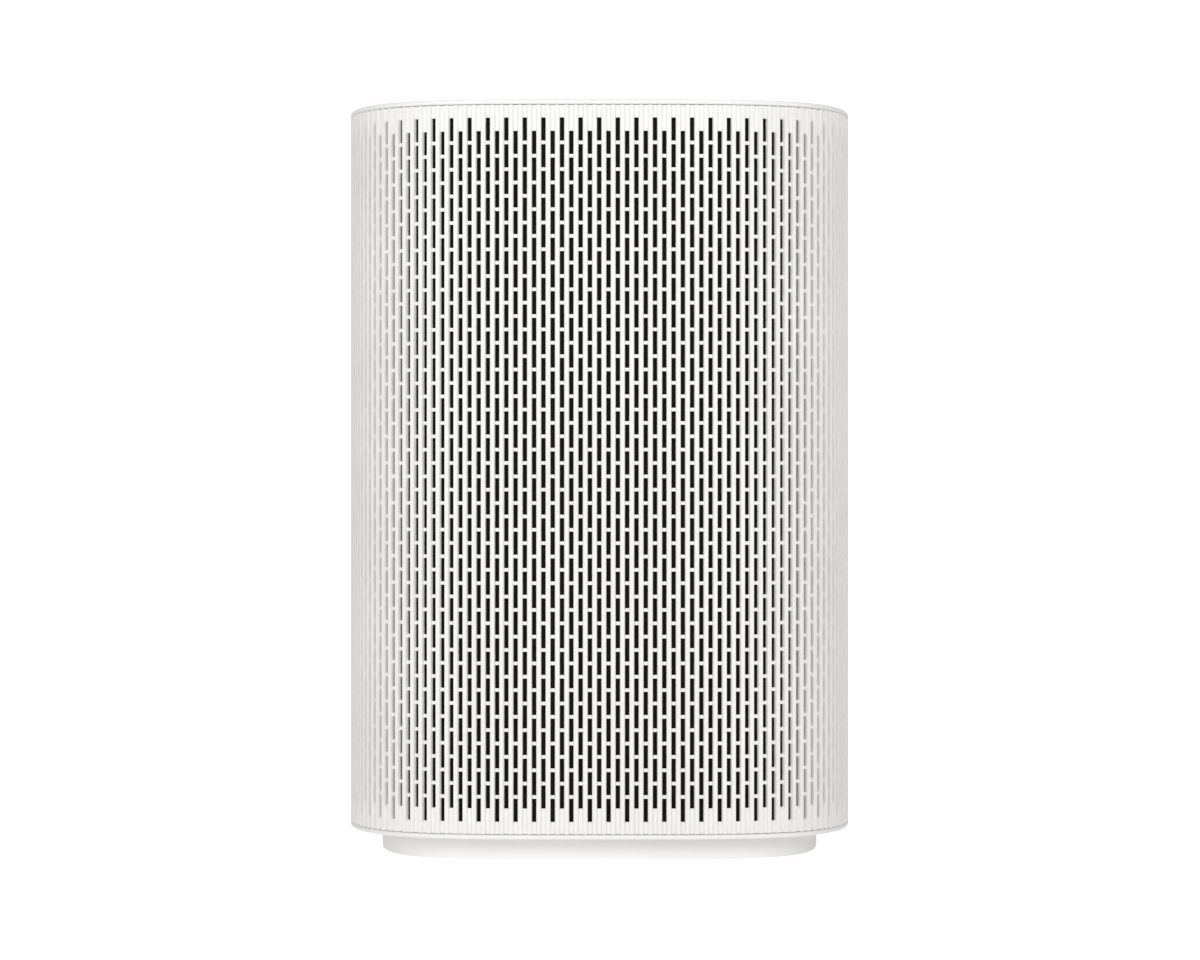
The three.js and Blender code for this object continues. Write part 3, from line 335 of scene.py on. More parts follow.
# ---- Base foot --------------------------------------------------------------------------------
# The set-back plinth that the purifier stands on, moulded in the same white ABS. Its underside has
# the filter doorway, four pockets for the feet and four deep holes for the screws that go up into it.

pad_pocket, pocket_depth, head_hole, head_depth = 8.3, 1.2, 3.2, 3
pad_places = [arc(114, 45 + a, 46 + a, 2)[0] for a in (0, 90, 180, 270)]
plinth = slab([plan(foot["inset"], foot["power"])], foot["bottom"], foot["top"], 0.7)
foot_cuts = [doorway(foot["bottom"] - 1, foot["top"] + 1)]
foot_cuts += drills(pad_pocket, pad_places, foot["bottom"] - 1, foot["bottom"] + pocket_depth, 48)
for spot in pillar_places:
    foot_cuts += drills(screw_hole, [spot], foot["bottom"] - 1, foot["top"] + 1)
    foot_cuts += drills(head_hole, [spot], foot["bottom"] - 1, foot["bottom"] + head_depth, 32)
base_foot = piece("plinth_foot", combined(plinth, foot_cuts), white_abs)
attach(base_foot, "chassis")
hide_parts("base_foot")

# ---- Feet and screws --------------------------------------------------------------------------
# Four round rubber feet, die-cut with a rounded rim and a shallow dish, are glued into the pockets.
# Four long steel screws with pan heads and a cross recess hold the foot, tray and pillars together.

# Die-cut silicone rubber: matt and dark grey, with fine dust-like mottling.
grey_rubber = moulded("grey_silicone_rubber", "#2C2C2D", "#333334", 0.75, 0.9, 0.5, 0.03, 1.41)
# Zinc-plated steel: bright and slightly blue, with faint turning lines round each head.
zinc_steel, tree, shader, place = begin("zinc_plated_steel", "#C3C6CB", 0.3, metallic=1)
blotched(tree, shader, place, 3, "#C6C9CE", "#B4B7BD", 0.22, 0.42)
plating = add(tree, "ShaderNodeTexNoise", {"Vector": place, "Scale": 3000.0, "Detail": 2.0})
add(tree, "ShaderNodeBump", {"Height": plating.outputs["Fac"], "Distance": 0.01 * MM, "Strength": 0.6},
    shader.inputs["Normal"])

foot_pad_profile = [(0, 0.25), (5.6, 0.25), (6.2, 0), (8, 0), (8, 1.7), (0, 1.7)]
for i, (x, y) in enumerate(pad_places, 1):
    pad = piece(f"rubber_foot_{i}", moved(turned(foot_pad_profile, 64, 0.3), x, y), grey_rubber)
    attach(pad, "chassis")
    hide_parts(f"foot_pad_{i}")


def oblong(left, right, low, high):
    """The corners of a rectangle in order, for a plate's outline or the section of a ring."""
    return [(left, low), (right, low), (right, high), (left, high)]


pan_head = {"radius": 2.9, "crown": 1.9, "shoulder": 0.9, "tall": 2.0, "recess": 1.1, "arm": 1.5,
            "arm_half": 0.32}
thread = {"crest": 1.5, "root": 1.28, "half_pitch": 0.35, "tip": 0.6}


def screw_mesh(head_level, shank_end, up):
    """A pan-head screw with a rolled thread. Its head faces down if up is 1, and up if it is -1."""
    start = head_level + up * pan_head["tall"]
    count = int(abs(shank_end - start) / thread["half_pitch"])
    turns = [(thread["crest"] if k % 2 else thread["root"], level)
             for k, level in enumerate(np.linspace(start, shank_end - up * thread["tip"], count))]
    profile = [(0, head_level), (pan_head["crown"], head_level),
               (pan_head["radius"], head_level + up * pan_head["shoulder"]), (pan_head["radius"], start)]
    profile += turns + [(0, shank_end)]
    body = turned(profile if up > 0 else profile[::-1], 32, 0.12)
    low, high = sorted((head_level - up * 0.5, head_level + up * pan_head["recess"]))
    arm, half = pan_head["arm"], pan_head["arm_half"]
    cross = [slab([oblong(-a, a, -b, b)], low, high, 0) for a, b in ((arm, half), (half, arm))]
    return combined(body, cross)


foot_screw = screw_mesh(1.5, 22.4, 1)
for i, (x, y) in enumerate(pillar_places, 1):
    screw = piece(f"base_screw_{i}", moved(foot_screw, x, y), zinc_steel, 25)
    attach(screw, "chassis")
    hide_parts(f"foot_screw_{i}")

# ---- Deck pillars -----------------------------------------------------------------------------
# Four black ABS posts that carry the fan deck over the filter. Each has a flange with four small
# gussets at its foot and a blind hole for the base screw, and tapers a little to leave its mould.

# Black ABS with a medium spark texture: a dull, dry sheen that hides dust and light inside.
black_abs = moulded("black_abs_medium_spark_texture", "#1A1A1B", "#222223", 0.5, 0.66, 0.7, 0.04)


on_tray = tray["top"] + 0.3
pillar_size = {"top": 240.3, "foot": 6, "head": 5.7, "flange": 8, "flange_tall": 3, "bore": 2.0,
               "bore_top": 23.0}


def pillar_mesh():
    """One post on its flange, tapering upwards, with a blind hole from below."""
    flange_top = on_tray + pillar_size["flange_tall"]
    post = turned([(pillar_size["bore"], on_tray), (pillar_size["flange"], on_tray),
                   (pillar_size["flange"], flange_top), (pillar_size["foot"], flange_top),
                   (pillar_size["head"], pillar_size["top"]), (0, pillar_size["top"]),
                   (0, pillar_size["bore_top"]), (pillar_size["bore"], pillar_size["bore_top"])], 48, 0.35)
    gusset = slab([oblong(5, 7.7, -0.6, 0.6)], flange_top - 0.5, on_tray + 7, 0.15)
    return combined(post, [moved(gusset, turn=a) for a in (45, 135, 225, 315)], "UNION")


pillar = pillar_mesh()
for i, (x, y) in enumerate(pillar_places, 1):
    post = piece(f"fan_deck_post_{i}", moved(pillar, x, y), black_abs)
    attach(post, "chassis")
    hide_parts(f"deck_pillar_{i}")

# ---- Filter door ------------------------------------------------------------------------------
# The round cover underneath, one white ABS moulding that turns 25 degrees to unlock. A grip bar spans
# a round dish, four lugs on its wall run under the tray, and a short ramp works the door switch.

door = {"radius": 95.9, "inner": 93.7, "bottom": 0.8, "floor": 3.8, "wall_top": 17.4, "dish": 32.0,
        "dish_top": 13.8, "boss_top": 16.8, "lug_reach": 99.1, "lug_bottom": 15.0, "lug_half": 11.0,
        "wall_middle": 94.8}


def lofted(rows):
    """A closed skin through rows of points, with a face across the first row and the last."""
    n = len(rows[0])
    verts = [v for row in rows for v in row]
    faces = [(n * i + j, n * i + (j + 1) % n, n * i + n + (j + 1) % n, n * i + n + j)
             for i in range(len(rows) - 1) for j in range(n)]
    return welded(verts, faces + [tuple(range(n)), tuple(range(len(verts) - n, len(verts)))])


def ramp_mesh():
    """The switch ramp on the door's wall: its top climbs 1.5 mm over the 25 degrees of the turn."""
    orbit, half, low, rise = door["wall_middle"], 0.8, 15.9, 1.5 / twist
    turns = np.linspace(-90 - twist, -88.5, 25)
    rows = []
    for a in turns:
        top = door["wall_top"] + rise * (a + 90 + twist)
        c, s = math.cos(math.radians(a)), math.sin(math.radians(a))
        rows.append([((orbit + dr) * c, (orbit + dr) * s, z)
                     for dr, z in ((-half, low), (half, low), (half, top), (-half, top))])
    return lofted(rows)


disc = turned([(0, door["bottom"]), (door["radius"], door["bottom"]), (door["radius"], door["wall_top"]),
               (door["inner"], door["wall_top"]), (door["inner"], door["floor"]), (35, door["floor"]),
               (35, door["boss_top"]), (0, door["boss_top"])], 160, 0.5)
dish = turned([(0, door["bottom"] - 1), (door["dish"] + 0.8, door["bottom"] - 1),
               (door["dish"] + 0.8, door["bottom"]), (door["dish"], door["bottom"] + 0.8),
               (door["dish"] - 1, door["dish_top"] - 4), (door["dish"] - 5, door["dish_top"]),
               (0, door["dish_top"])], 96, 0)
grip = slab([oblong(-33, 33, -8, 8)], door["bottom"], door["dish_top"] + 1, 1.2)
lug_ends = [(a - door["lug_half"], a + door["lug_half"]) for a in LUGS]
lug_meshes = [slab([list(arc(door["lug_reach"], a, b, 12)) + list(arc(door["wall_middle"], b, a, 12))],
                   door["lug_bottom"], door["wall_top"], 0.3) for a, b in lug_ends]
arrow = [slab([[(-4, 60), (4, 60), (0, 67)]], door["bottom"] - 1, door["bottom"] + 0.4, 0),
         slab([list(arc(70, 255, 285, 16)) + list(arc(71.2, 285, 255, 16))], door["bottom"] - 1,
              door["bottom"] + 0.4, 0)]
door_solid = combined(combined(disc, [dish, *arrow]), [grip, *lug_meshes, ramp_mesh()], "UNION")
filter_door = piece("bayonet_door", door_solid, white_abs)
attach(filter_door, "door")
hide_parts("filter_door")

# ---- Door seal and deck seal ------------------------------------------------------------------
# Two rings of closed-cell foam, cut from sheet. One lies in the door and lifts the filter, the other
# is stuck under the fan deck, and the filter is squeezed between them so that no air slips past.

# Closed-cell PE foam: very matt charcoal with open pores about 0.6 mm across on its cut faces.
cut_foam, tree, shader, place = begin("charcoal_closed_cell_foam", "#3A3A3C", 0.95, 1.45)
pore_dips_and_painted_shade = add(tree, "ShaderNodeTexVoronoi", {"Vector": place, "Scale": 1600.0})
# Painted shade: the colour is darker towards the middle of each pore, where the surface dips, and lighter on
# the rims between pores.
add(tree, "ShaderNodeMix", {"data_type": "RGBA", 0: pore_dips_and_painted_shade.outputs["Distance"],
                            6: linear("#2B2B2D"), 7: linear("#47474A")}, shader.inputs["Base Color"])
add(tree, "ShaderNodeBump", {"Height": pore_dips_and_painted_shade.outputs["Distance"], "Distance": 0.25 * MM},
    shader.inputs["Normal"])
shader.inputs["Sheen Weight"].default_value = 0.15

for name, node, r, low, high in (("door_foam_ring", "door_seal", 83.7, 4.1, 16.8),
                                 ("deck_foam_ring", "deck_seal", 82.5, 236.3, 240.3)):
    bulge = 0.35
    seal = piece(name, turned([(r + bulge, low), (r + 7 - bulge, low), (r + 7, (low + high) / 2),
                               (r + 7 - bulge, high), (r + bulge, high), (r, (low + high) / 2)], 128, 0.8),
                 cut_foam, 50)
    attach(seal, "chassis")
    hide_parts(node)

# ---- Filter -----------------------------------------------------------------------------------
# A round cartridge: pleated glass-fibre paper between two black ABS end caps, with a net of activated
# carbon inside the pleats. Three beads of hot glue keep the 120 pleats evenly apart.

filter_size = {"radius": 91.3, "bottom": 17.1, "top": 236.0, "carbon": 61.3, "bore": 55.3, "pleats": 120,
               "cap_wall": 1.2, "cap_plate": 2.0, "cap_rim": 6.0, "paper": 0.5}
paper_low, paper_high = filter_size["bottom"] + 2.3, filter_size["top"] - 2.3
# Pleated glass-fibre paper: matt warm white, soft fibres about 0.3 mm wide and drawn at 0.8.
glass_paper, tree, shader, place = begin("pleated_glass_fibre_paper", "#F0EEE7", 0.95, 1.5)
blotched(tree, shader, place, 12, "#F3F1EB", "#E9E6DD", 0.9, 1.0)
stretched = add(tree, "ShaderNodeMapping", {"Vector": place, "Scale": (1.0, 1.0, 0.25)})
fibres = add(tree, "ShaderNodeTexNoise", {"Vector": stretched.outputs["Vector"], "Scale": 1 / (0.8 * MM),
                                          "Detail": 3.0})
add(tree, "ShaderNodeBump", {"Height": fibres.outputs["Fac"], "Distance": 0.08 * MM},
    shader.inputs["Normal"])
shader.inputs["Sheen Weight"].default_value = 0.2


def pleat_mesh():
    """The folded paper as one closed wall: each pleat is a rounded V between two circles."""
    count, steps, sharpness = filter_size["pleats"], 8, 0.985
    inner, outer = filter_size["carbon"] + 0.9, filter_size["radius"] - filter_size["cap_wall"] - 0.9
    loop = []
    for k in range(count * steps):
        phase = 2 * math.pi * k / steps
        wave = math.asin(sharpness * math.sin(phase)) / math.asin(sharpness)
        radius = (inner + outer) / 2 + (outer - inner) / 2 * wave
        angle = 2 * math.pi * k / (count * steps)
        loop.append((radius * math.cos(angle), radius * math.sin(angle)))
    loop = np.array(loop)
    along = np.roll(loop, -1, 0) - np.roll(loop, 1, 0)
    across = np.column_stack([along[:, 1], -along[:, 0]]) / np.linalg.norm(along, axis=1)[:, None]
    sides = [loop + across * filter_size["paper"] / 2, loop - across * filter_size["paper"] / 2]
    n = len(loop)
    verts = [(x, y, z) for z in (paper_low, paper_high) for side in sides for x, y in side]
    faces = []
    for i in range(n):
        j = (i + 1) % n
        faces += [(i, j, 2 * n + j, 2 * n + i), (n + i, 3 * n + i, 3 * n + j, n + j),
                  (i, n + i, n + j, j), (2 * n + i, 2 * n + j, 3 * n + j, 3 * n + i)]
    return welded(verts, faces)


media = piece("pleated_filter", pleat_mesh(), glass_paper, 60)
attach(media, "chassis")
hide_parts("filter_media")

# Hot-melt glue: slightly clear, yellowish white and glossy, laid on as a thin thread.
hot_glue, tree, shader, place = begin("hot_melt_glue_bead", "#EFE9D6", 0.25, 1.48)
blotched(tree, shader, place, 6, "#F2EDDD", "#E6DDC2", 0.18, 0.35)
ripple = add(tree, "ShaderNodeTexNoise", {"Vector": place, "Scale": 300.0, "Detail": 2.0})
add(tree, "ShaderNodeBump", {"Height": ripple.outputs["Fac"], "Distance": 0.3 * MM},
    shader.inputs["Normal"])
bead_radius, bead = filter_size["radius"] - 1.15, 0.45
for i, level in enumerate((71, 126.5, 182), 1):
    section = [(bead_radius + bead * math.cos(a) - bead, level + 1.6 * bead * math.sin(a))
               for a in np.linspace(0, 2 * math.pi, 12, endpoint=False)]
    glue = piece(f"glue_bead_{i}", turned(section, 160, 0), hot_glue, 80)
    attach(glue, "chassis")

rim, lip = filter_size["radius"], filter_size["radius"] - filter_size["cap_wall"]
for node, bore, level, up in (("filter_bottom_cap", 0, filter_size["bottom"], 1),
                              ("filter_top_cap", filter_size["bore"], filter_size["top"], -1)):
    plate, edge = level + up * filter_size["cap_plate"], level + up * filter_size["cap_rim"]
    profile = [(bore, level), (rim, level), (rim, edge), (lip, edge), (lip, plate), (bore, plate)]
    end_cap = piece(node.replace("filter", "cartridge"), turned(profile, 160, 0.4), black_abs)
    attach(end_cap, "chassis")
    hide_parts(node)

# Activated carbon behind nylon net: coal-black grains 1 to 2 mm across, some of them glinting.
carbon_grains, tree, shader, place = begin("activated_carbon_granules", "#141414", 0.8, 1.8)
grains = add(tree, "ShaderNodeTexVoronoi", {"Vector": place, "Scale": 620.0})
add(tree, "ShaderNodeMix", {"data_type": "RGBA", 0: grains.outputs["Color"],
                            6: linear("#0B0B0B"), 7: linear("#2A2A2B")}, shader.inputs["Base Color"])
add(tree, "ShaderNodeMapRange", {"Value": grains.outputs["Distance"], "To Min": 0.35, "To Max": 0.95},
    shader.inputs["Roughness"])
add(tree, "ShaderNodeBump", {"Height": grains.outputs["Distance"], "Distance": -0.9 * MM},
    shader.inputs["Normal"])
sleeve_wall = oblong(filter_size["bore"], filter_size["carbon"], paper_low, paper_high)
carbon = piece("carbon_net_sleeve", turned(sleeve_wall, 160, 0.8), carbon_grains)
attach(carbon, "chassis")
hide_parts("carbon_sleeve")

# ---- Fan deck and housing ---------------------------------------------------------------------
# The black ABS floor of the fan: a plate on the pillars with a bell-shaped mouth in its middle and an
# open passage at each corner. The fan's tall round housing stands on it by a flange.

deck = {"bottom": 240.6, "top": 243.6, "inset": 4.5}
housing = {"inner": 98.3, "outer": 100.5, "flange": 105.5, "bottom": 243.9, "flange_top": 245.9, "top": 361.9}
reach = math.sqrt(2) * (WIDTH / 2 - deck["inset"]) * 0.5 ** (1 / PLAN_POWER)
passage_orbit, passage_radius = (reach + housing["outer"]) / 2, (reach - housing["outer"]) / 2 - 6
deck_loops = [plan(deck["inset"]), arc(52, count=128)]
deck_loops += [arc(passage_radius, count=40, centre=arc(passage_orbit, a, a + 1, 2)[0]) for a in LUGS]
mouth = turned([(53, 240.6), (53, 243.6), (49.6, 243.6), (49, 244.4), (49, 246.6), (47, 246.6), (47, 243.9),
                (47.4, 242.4), (49, 240.6)], 128, 0.3)
deck_rib = slab([oblong(56, 92, -0.7, 0.7)], deck["top"] - 0.5, deck["top"] + 1.2, 0.1)
deck_solid = combined(slab(deck_loops, deck["bottom"], deck["top"], 0.35),
                      [mouth] + [moved(deck_rib, turn=30 * k) for k in range(12)], "UNION")
fan_deck = piece("bellmouth_deck", deck_solid, black_abs)
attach(fan_deck, "chassis")
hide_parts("fan_deck")

housing_profile = [(housing["inner"], housing["bottom"]), (housing["flange"], housing["bottom"]),
                   (housing["flange"], housing["flange_top"]), (housing["outer"], housing["flange_top"]),
                   (housing["outer"], housing["top"]), (housing["inner"], housing["top"])]
fan_housing = piece("fan_housing_tube", turned(housing_profile, 160, 0.35), black_abs)
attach(fan_housing, "chassis")
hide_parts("fan_housing")

# ---- Fan rotor --------------------------------------------------------------------------------
# A backward-curved centrifugal impeller in glass-filled nylon: nine blades between a back plate and a
# shroud ring, with a deep hub. It is held on the motor's shaft by a brass nut.

fan = {"radius": 78.0, "low": 247.6, "high": 299.6, "inlet": 50.0, "blades": 9, "blade": 1.8,
       "blade_inner": 46.0, "sweep": 48.0}
# Glass-filled nylon: nearly black with faint paler streaks of fibre and a drier gloss than ABS.
filled_nylon, tree, shader, place = begin("glass_filled_black_nylon", "#1C1C1D", 0.55, 1.53)
blotched(tree, shader, place, 8, "#19191A", "#29292B", 0.45, 0.7)
streaks = add(tree, "ShaderNodeTexNoise", {"Vector": place, "Scale": 900.0, "Detail": 4.0, "Distortion": 1.5})
add(tree, "ShaderNodeBump", {"Height": streaks.outputs["Fac"], "Distance": 0.05 * MM},
    shader.inputs["Normal"])


def blade_mesh():
    """One blade: its middle line sweeps back as it runs out, and both of its edges are rounded."""
    shares = np.linspace(0, 1, 15)
    radius = fan["blade_inner"] + (fan["radius"] - 0.5 - fan["blade_inner"]) * shares
    angle = np.radians(-fan["sweep"] * shares)
    middle = np.column_stack([radius * np.cos(angle), radius * np.sin(angle)])
    along = np.gradient(middle, axis=0)
    across = np.column_stack([-along[:, 1], along[:, 0]]) / np.linalg.norm(along, axis=1)[:, None]
    half = fan["blade"] / 2 * np.clip(np.sin(np.pi * (0.12 + 0.76 * shares)) * 1.6, 0, 1)
    outline = list(middle + across * half[:, None]) + list((middle - across * half[:, None])[::-1])
    return slab([outline], fan["low"] + 1, fan["high"] - 1, 0)


hub = turned([(2.8, 275), (6.8, 275), (6.8, 281), (26.7, 281), (26.7, 297.6), (78, 297.6), (78, 299.6),
              (24.7, 299.6), (24.7, 283), (2.8, 283)], 128, 0.4)
shroud = turned(oblong(fan["inlet"], fan["radius"], fan["low"], fan["low"] + 2), 128, 0.5)
hub_rib = slab([oblong(6, 26, -0.7, 0.7)], 277.5, 281.5, 0.1)
blade = blade_mesh()
wheel = combined(hub, [shroud] + [moved(blade, turn=360 / fan["blades"] * k) for k in range(fan["blades"])]
                 + [moved(hub_rib, turn=60 * k) for k in range(6)], "UNION")
impeller = piece("centrifugal_impeller", wheel, filled_nylon)
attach(impeller, "fan_rotor")
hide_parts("impeller")

# Turned free-cutting brass: warm yellow with fine lathe rings that stretch the highlights.
turned_brass, tree, shader, place = begin("turned_brass", "#C9A45A", 0.28, metallic=1)
blotched(tree, shader, place, 3, "#CDA95F", "#B9924B", 0.2, 0.38)
lathe_rings = add(tree, "ShaderNodeTexWave", {"wave_type": "RINGS", "rings_direction": "Z", "Vector": place,
                                              "Scale": 900.0, "Distortion": 0.4, "Detail": 1.0})
add(tree, "ShaderNodeBump", {"Height": lathe_rings.outputs["Fac"], "Distance": 0.01 * MM},
    shader.inputs["Normal"])

hexagon = arc(5, count=6)
nut = combined(slab([hexagon], 269.7, 274.7, 0.45), [slab([arc(2.8, count=48)], 268, 276, 0)])
impeller_nut = piece("impeller_lock_nut", nut, turned_brass, 25)
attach(impeller_nut, "fan_rotor")
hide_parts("impeller_nut")

# Ground steel: the grinding leaves fine rings round the shaft, so the highlight is a soft band.
ground_steel, tree, shader, place = begin("ground_bearing_steel", "#C4C6C9", 0.2, metallic=1)
blotched(tree, shader, place, 4, "#C9CBCE", "#B3B6BA", 0.14, 0.28)
grind = add(tree, "ShaderNodeTexWave", {"bands_direction": "Z", "Vector": place, "Scale": 1200.0,
                                        "Distortion": 2.0, "Detail": 2.0})
add(tree, "ShaderNodeBump", {"Height": grind.outputs["Fac"], "Distance": 0.004 * MM},
    shader.inputs["Normal"])

shaft_profile = [(0, 267.7), (2.1, 267.7), (2.5, 268.2), (2.5, 311.4), (2.1, 311.9), (0, 311.9)]
cup_profile = [(2.8, 283.3), (24.4, 283.3), (24.4, 302.4), (23, 302.4), (23, 284.7), (2.8, 284.7)]
for name, node, profile, metal in (("motor_spindle", "motor_shaft", shaft_profile, ground_steel),
                                   ("drawn_rotor_cup", "rotor_cup", cup_profile, zinc_steel)):
    rotor_part = piece(name, turned(profile, 96, 0.2), metal)
    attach(rotor_part, "fan_rotor")
    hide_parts(node)

# Bonded ferrite: dull charcoal with a fine pressed grain and a little metallic glint.
ferrite, tree, shader, place = begin("bonded_ferrite", "#4A4B4E", 0.6, metallic=1)
blotched(tree, shader, place, 2, "#505155", "#3E3F42", 0.5, 0.7)
pressed = add(tree, "ShaderNodeTexNoise", {"Vector": place, "Scale": 2500.0, "Detail": 2.0})
add(tree, "ShaderNodeBump", {"Height": pressed.outputs["Fac"], "Distance": 0.03 * MM},
    shader.inputs["Normal"])
stack_low, stack_high = 288.3, 300.3
magnet_profile = oblong(20.5, 22.7, stack_low, stack_high)
magnet = piece("ring_magnet", turned(magnet_profile, 96, 0.25), ferrite)
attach(magnet, "fan_rotor")
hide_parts("rotor_magnet")

# ---- Motor, fixed half ------------------------------------------------------------------------
# The stator of an outer-rotor motor, pressed on the tube of a die-cast aluminium mount: twelve steel
# teeth wound with enamelled copper, and a ball bearing at each end of the tube.

# Die-cast aluminium: light grey with a soft, slightly mottled as-cast skin.
cast_aluminium, tree, shader, place = begin("die_cast_aluminium", "#BFC2C5", 0.45, metallic=1)
blotched(tree, shader, place, 5, "#C2C5C8", "#A9ACB0", 0.38, 0.55)
cast_skin = add(tree, "ShaderNodeTexNoise", {"Vector": place, "Scale": 1000.0, "Detail": 3.0})
add(tree, "ShaderNodeBump", {"Height": cast_skin.outputs["Fac"], "Distance": 0.04 * MM},
    shader.inputs["Normal"])

mount_profile = [(6.8, 284.9), (8.4, 284.9), (8.4, 305.9), (33, 305.9), (33, 308.9), (6.8, 308.9),
                 (6.8, 303.6), (5.8, 303.6), (5.8, 290.6), (6.8, 290.6)]
mount = turned(mount_profile, 96, 0.2)
screw_places = [arc(27, 90 + 120 * k, 91 + 120 * k, 2)[0] for k in range(3)]
mount = combined(mount, drills(screw_hole, screw_places, 305, 310))
motor_mount = piece("cast_motor_mount", mount, cast_aluminium)
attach(motor_mount, "chassis")
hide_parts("motor_mount")

# Stacked silicon-steel sheet, 0.5 mm each: the cut edges read as fine bluish-grey layers.
steel_stack, tree, shader, place = begin("stacked_silicon_steel", "#74767B", 0.42, metallic=1)
layers = add(tree, "ShaderNodeTexWave", {"bands_direction": "Z", "Vector": place, "Distortion": 0.3,
                                         "Scale": math.pi / 10 / (0.5 * MM)})
add(tree, "ShaderNodeMix", {"data_type": "RGBA", 0: layers.outputs["Fac"],
                            6: linear("#55575B"), 7: linear("#85888D")}, shader.inputs["Base Color"])
add(tree, "ShaderNodeBump", {"Height": layers.outputs["Fac"], "Distance": 0.06 * MM},
    shader.inputs["Normal"])

TEETH = 12
tooth_half = 1.3
core = [turned(oblong(8.7, 11.7, stack_low, stack_high), 96, 0.15)]
for k in range(TEETH):
    middle = 360 / TEETH * k
    tooth = slab([oblong(11, 18.6, -tooth_half, tooth_half)], stack_low + 0.3, stack_high - 0.3, 0)
    face = list(arc(20, middle - 12.5, middle + 12.5, 7)) + list(arc(18.2, middle + 12.5, middle - 12.5, 7))
    shoe = slab([face], stack_low + 0.2, stack_high - 0.2, 0.1)
    core += [moved(tooth, turn=middle), shoe]
stator = piece("toothed_stator", combined(core[0], core[1:], "UNION"), steel_stack, 25)
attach(stator, "chassis")
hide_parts("stator_core")

# Enamelled copper wire 0.5 mm thick: deep orange-brown, glossy lacquer over metal, wire by wire.
magnet_wire, tree, shader, place = begin("enamelled_copper_wire", "#A9572B", 0.3, metallic=1)
blotched(tree, shader, place, 4, "#B3602F", "#8E4522", 0.22, 0.4)
shader.inputs["Coat Weight"].default_value = 0.5
shader.inputs["Coat Roughness"].default_value = 0.15

first_turn, turn_step, stack_bore = 12.6, 1.1, 12


def gathered(meshes):
    """Several separate meshes as one."""
    work = bmesh.new()
    for mesh in meshes:
        work.from_mesh(mesh)
    whole = bpy.data.meshes.new("gathered")
    work.to_mesh(whole)
    work.free()
    return whole


for name, node, low, high in (("upper_coil_ends", "winding_upper", 300.2, 303.3),
                              ("lower_coil_ends", "winding_lower", 285.3, 288.4)):
    coil_parts = []
    for k in range(TEETH):
        for turn_number in range(5):
            r = first_turn + turn_number * turn_step
            wide = tooth_half + 0.07 * (r - stack_bore)
            height = (high - low) * (0.95 - 0.05 * turn_number)
            base, crest = (low, low + height) if low > stack_low else (high, high - height)
            path = [(r, wide * math.cos(a), base + (crest - base) * math.sin(a))
                    for a in np.linspace(0, math.pi, 9)]
            rings = []
            for x, y, z in path:
                a = math.atan2((z - base) / (crest - base), y / wide)
                rings.append([(x + 0.5 * math.cos(b), y + 0.3 * math.sin(b) * math.cos(a),
                               z + 0.3 * math.sin(b) * math.sin(a) * (1 if crest > base else -1))
                              for b in np.linspace(0, 2 * math.pi, 6, endpoint=False)])
            coil_parts.append(moved(lofted(rings), turn=360 / TEETH * k))
    coil_ends = piece(name, gathered(coil_parts), magnet_wire, 60)
    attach(coil_ends, "chassis")
    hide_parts(node)

for name, node, low in (("lower_ball_bearing", "bearing_lower", 285.3),
                        ("upper_ball_bearing", "bearing_upper", 303.9)):
    outer_race = turned(oblong(5.2, 6.5, low, low + 5), 64, 0.25)
    inner_race = turned(oblong(2.6, 3.6, low, low + 5), 64, 0.2)
    shield = turned(oblong(3.5, 5.3, low + 0.5, low + 4.5), 64, 0.2)
    bearing = piece(name, combined(outer_race, [inner_race, shield], "UNION"), ground_steel)
    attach(bearing, "chassis")
    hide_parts(node)

motor_screw = screw_mesh(311.2, 303.9, -1)
for i, (x, y) in enumerate(screw_places, 1):
    screw = piece(f"mount_screw_{i}", moved(motor_screw, x, y), zinc_steel, 25)
    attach(screw, "chassis")
    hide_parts(f"motor_screw_{i}")

# ---- Diffuser and driver board ----------------------------------------------------------------
# A pod on the axis that holds the motor and the electronics, and eleven leaning vanes from it to a
# band in the housing that turn the swirling air upwards. All one moulding in black ABS.

pod = turned([(8.7, 303.6), (40, 303.6), (40, 357.1), (38, 357.1), (38, 305.6), (8.7, 305.6)], 128, 0.4)
band = turned(oblong(96, 98, 307.6, 331.6), 160, 0.3)
VANES, VANE_STEPS = 11, 14
vane_size = {"root": 39, "tip": 96.5, "low": 308.6, "tall": 22, "foot_lean": 34, "top_lean": 14,
             "half_thick": 0.9}


def vane_mesh():
    """One vane from pod to band: it leans 24 degrees, and curves upright towards its top edge."""
    rows = []
    tall, foot_lean = vane_size["tall"], math.radians(vane_size["foot_lean"])
    start = -tall / 2 * math.tan(math.radians((vane_size["foot_lean"] + vane_size["top_lean"]) / 2))
    for radius in np.linspace(vane_size["root"], vane_size["tip"], VANE_STEPS):
        row = []
        for side in (-1, 1):
            for share in np.linspace(0, 1, 7)[::side]:
                lean = foot_lean - math.radians(vane_size["foot_lean"] - vane_size["top_lean"]) * share
                aside = start + tall * share * math.tan((foot_lean + lean) / 2)
                thick = vane_size["half_thick"] * min(1, 0.7 + 2.6 * min(share, 1 - share))
                row.append((radius, aside + side * thick, vane_size["low"] + tall * share))
        rows.append(row)
    return lofted(rows)


vane = vane_mesh()
diffuser_solid = combined(pod, [band] + [moved(vane, turn=360 / VANES * k) for k in range(VANES)], "UNION")
diffuser_solid = combined(diffuser_solid, drills(screw_hole, screw_places, 302, 307))
diffuser = piece("vaned_diffuser", diffuser_solid, black_abs, 40)
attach(diffuser, "chassis")
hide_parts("diffuser")

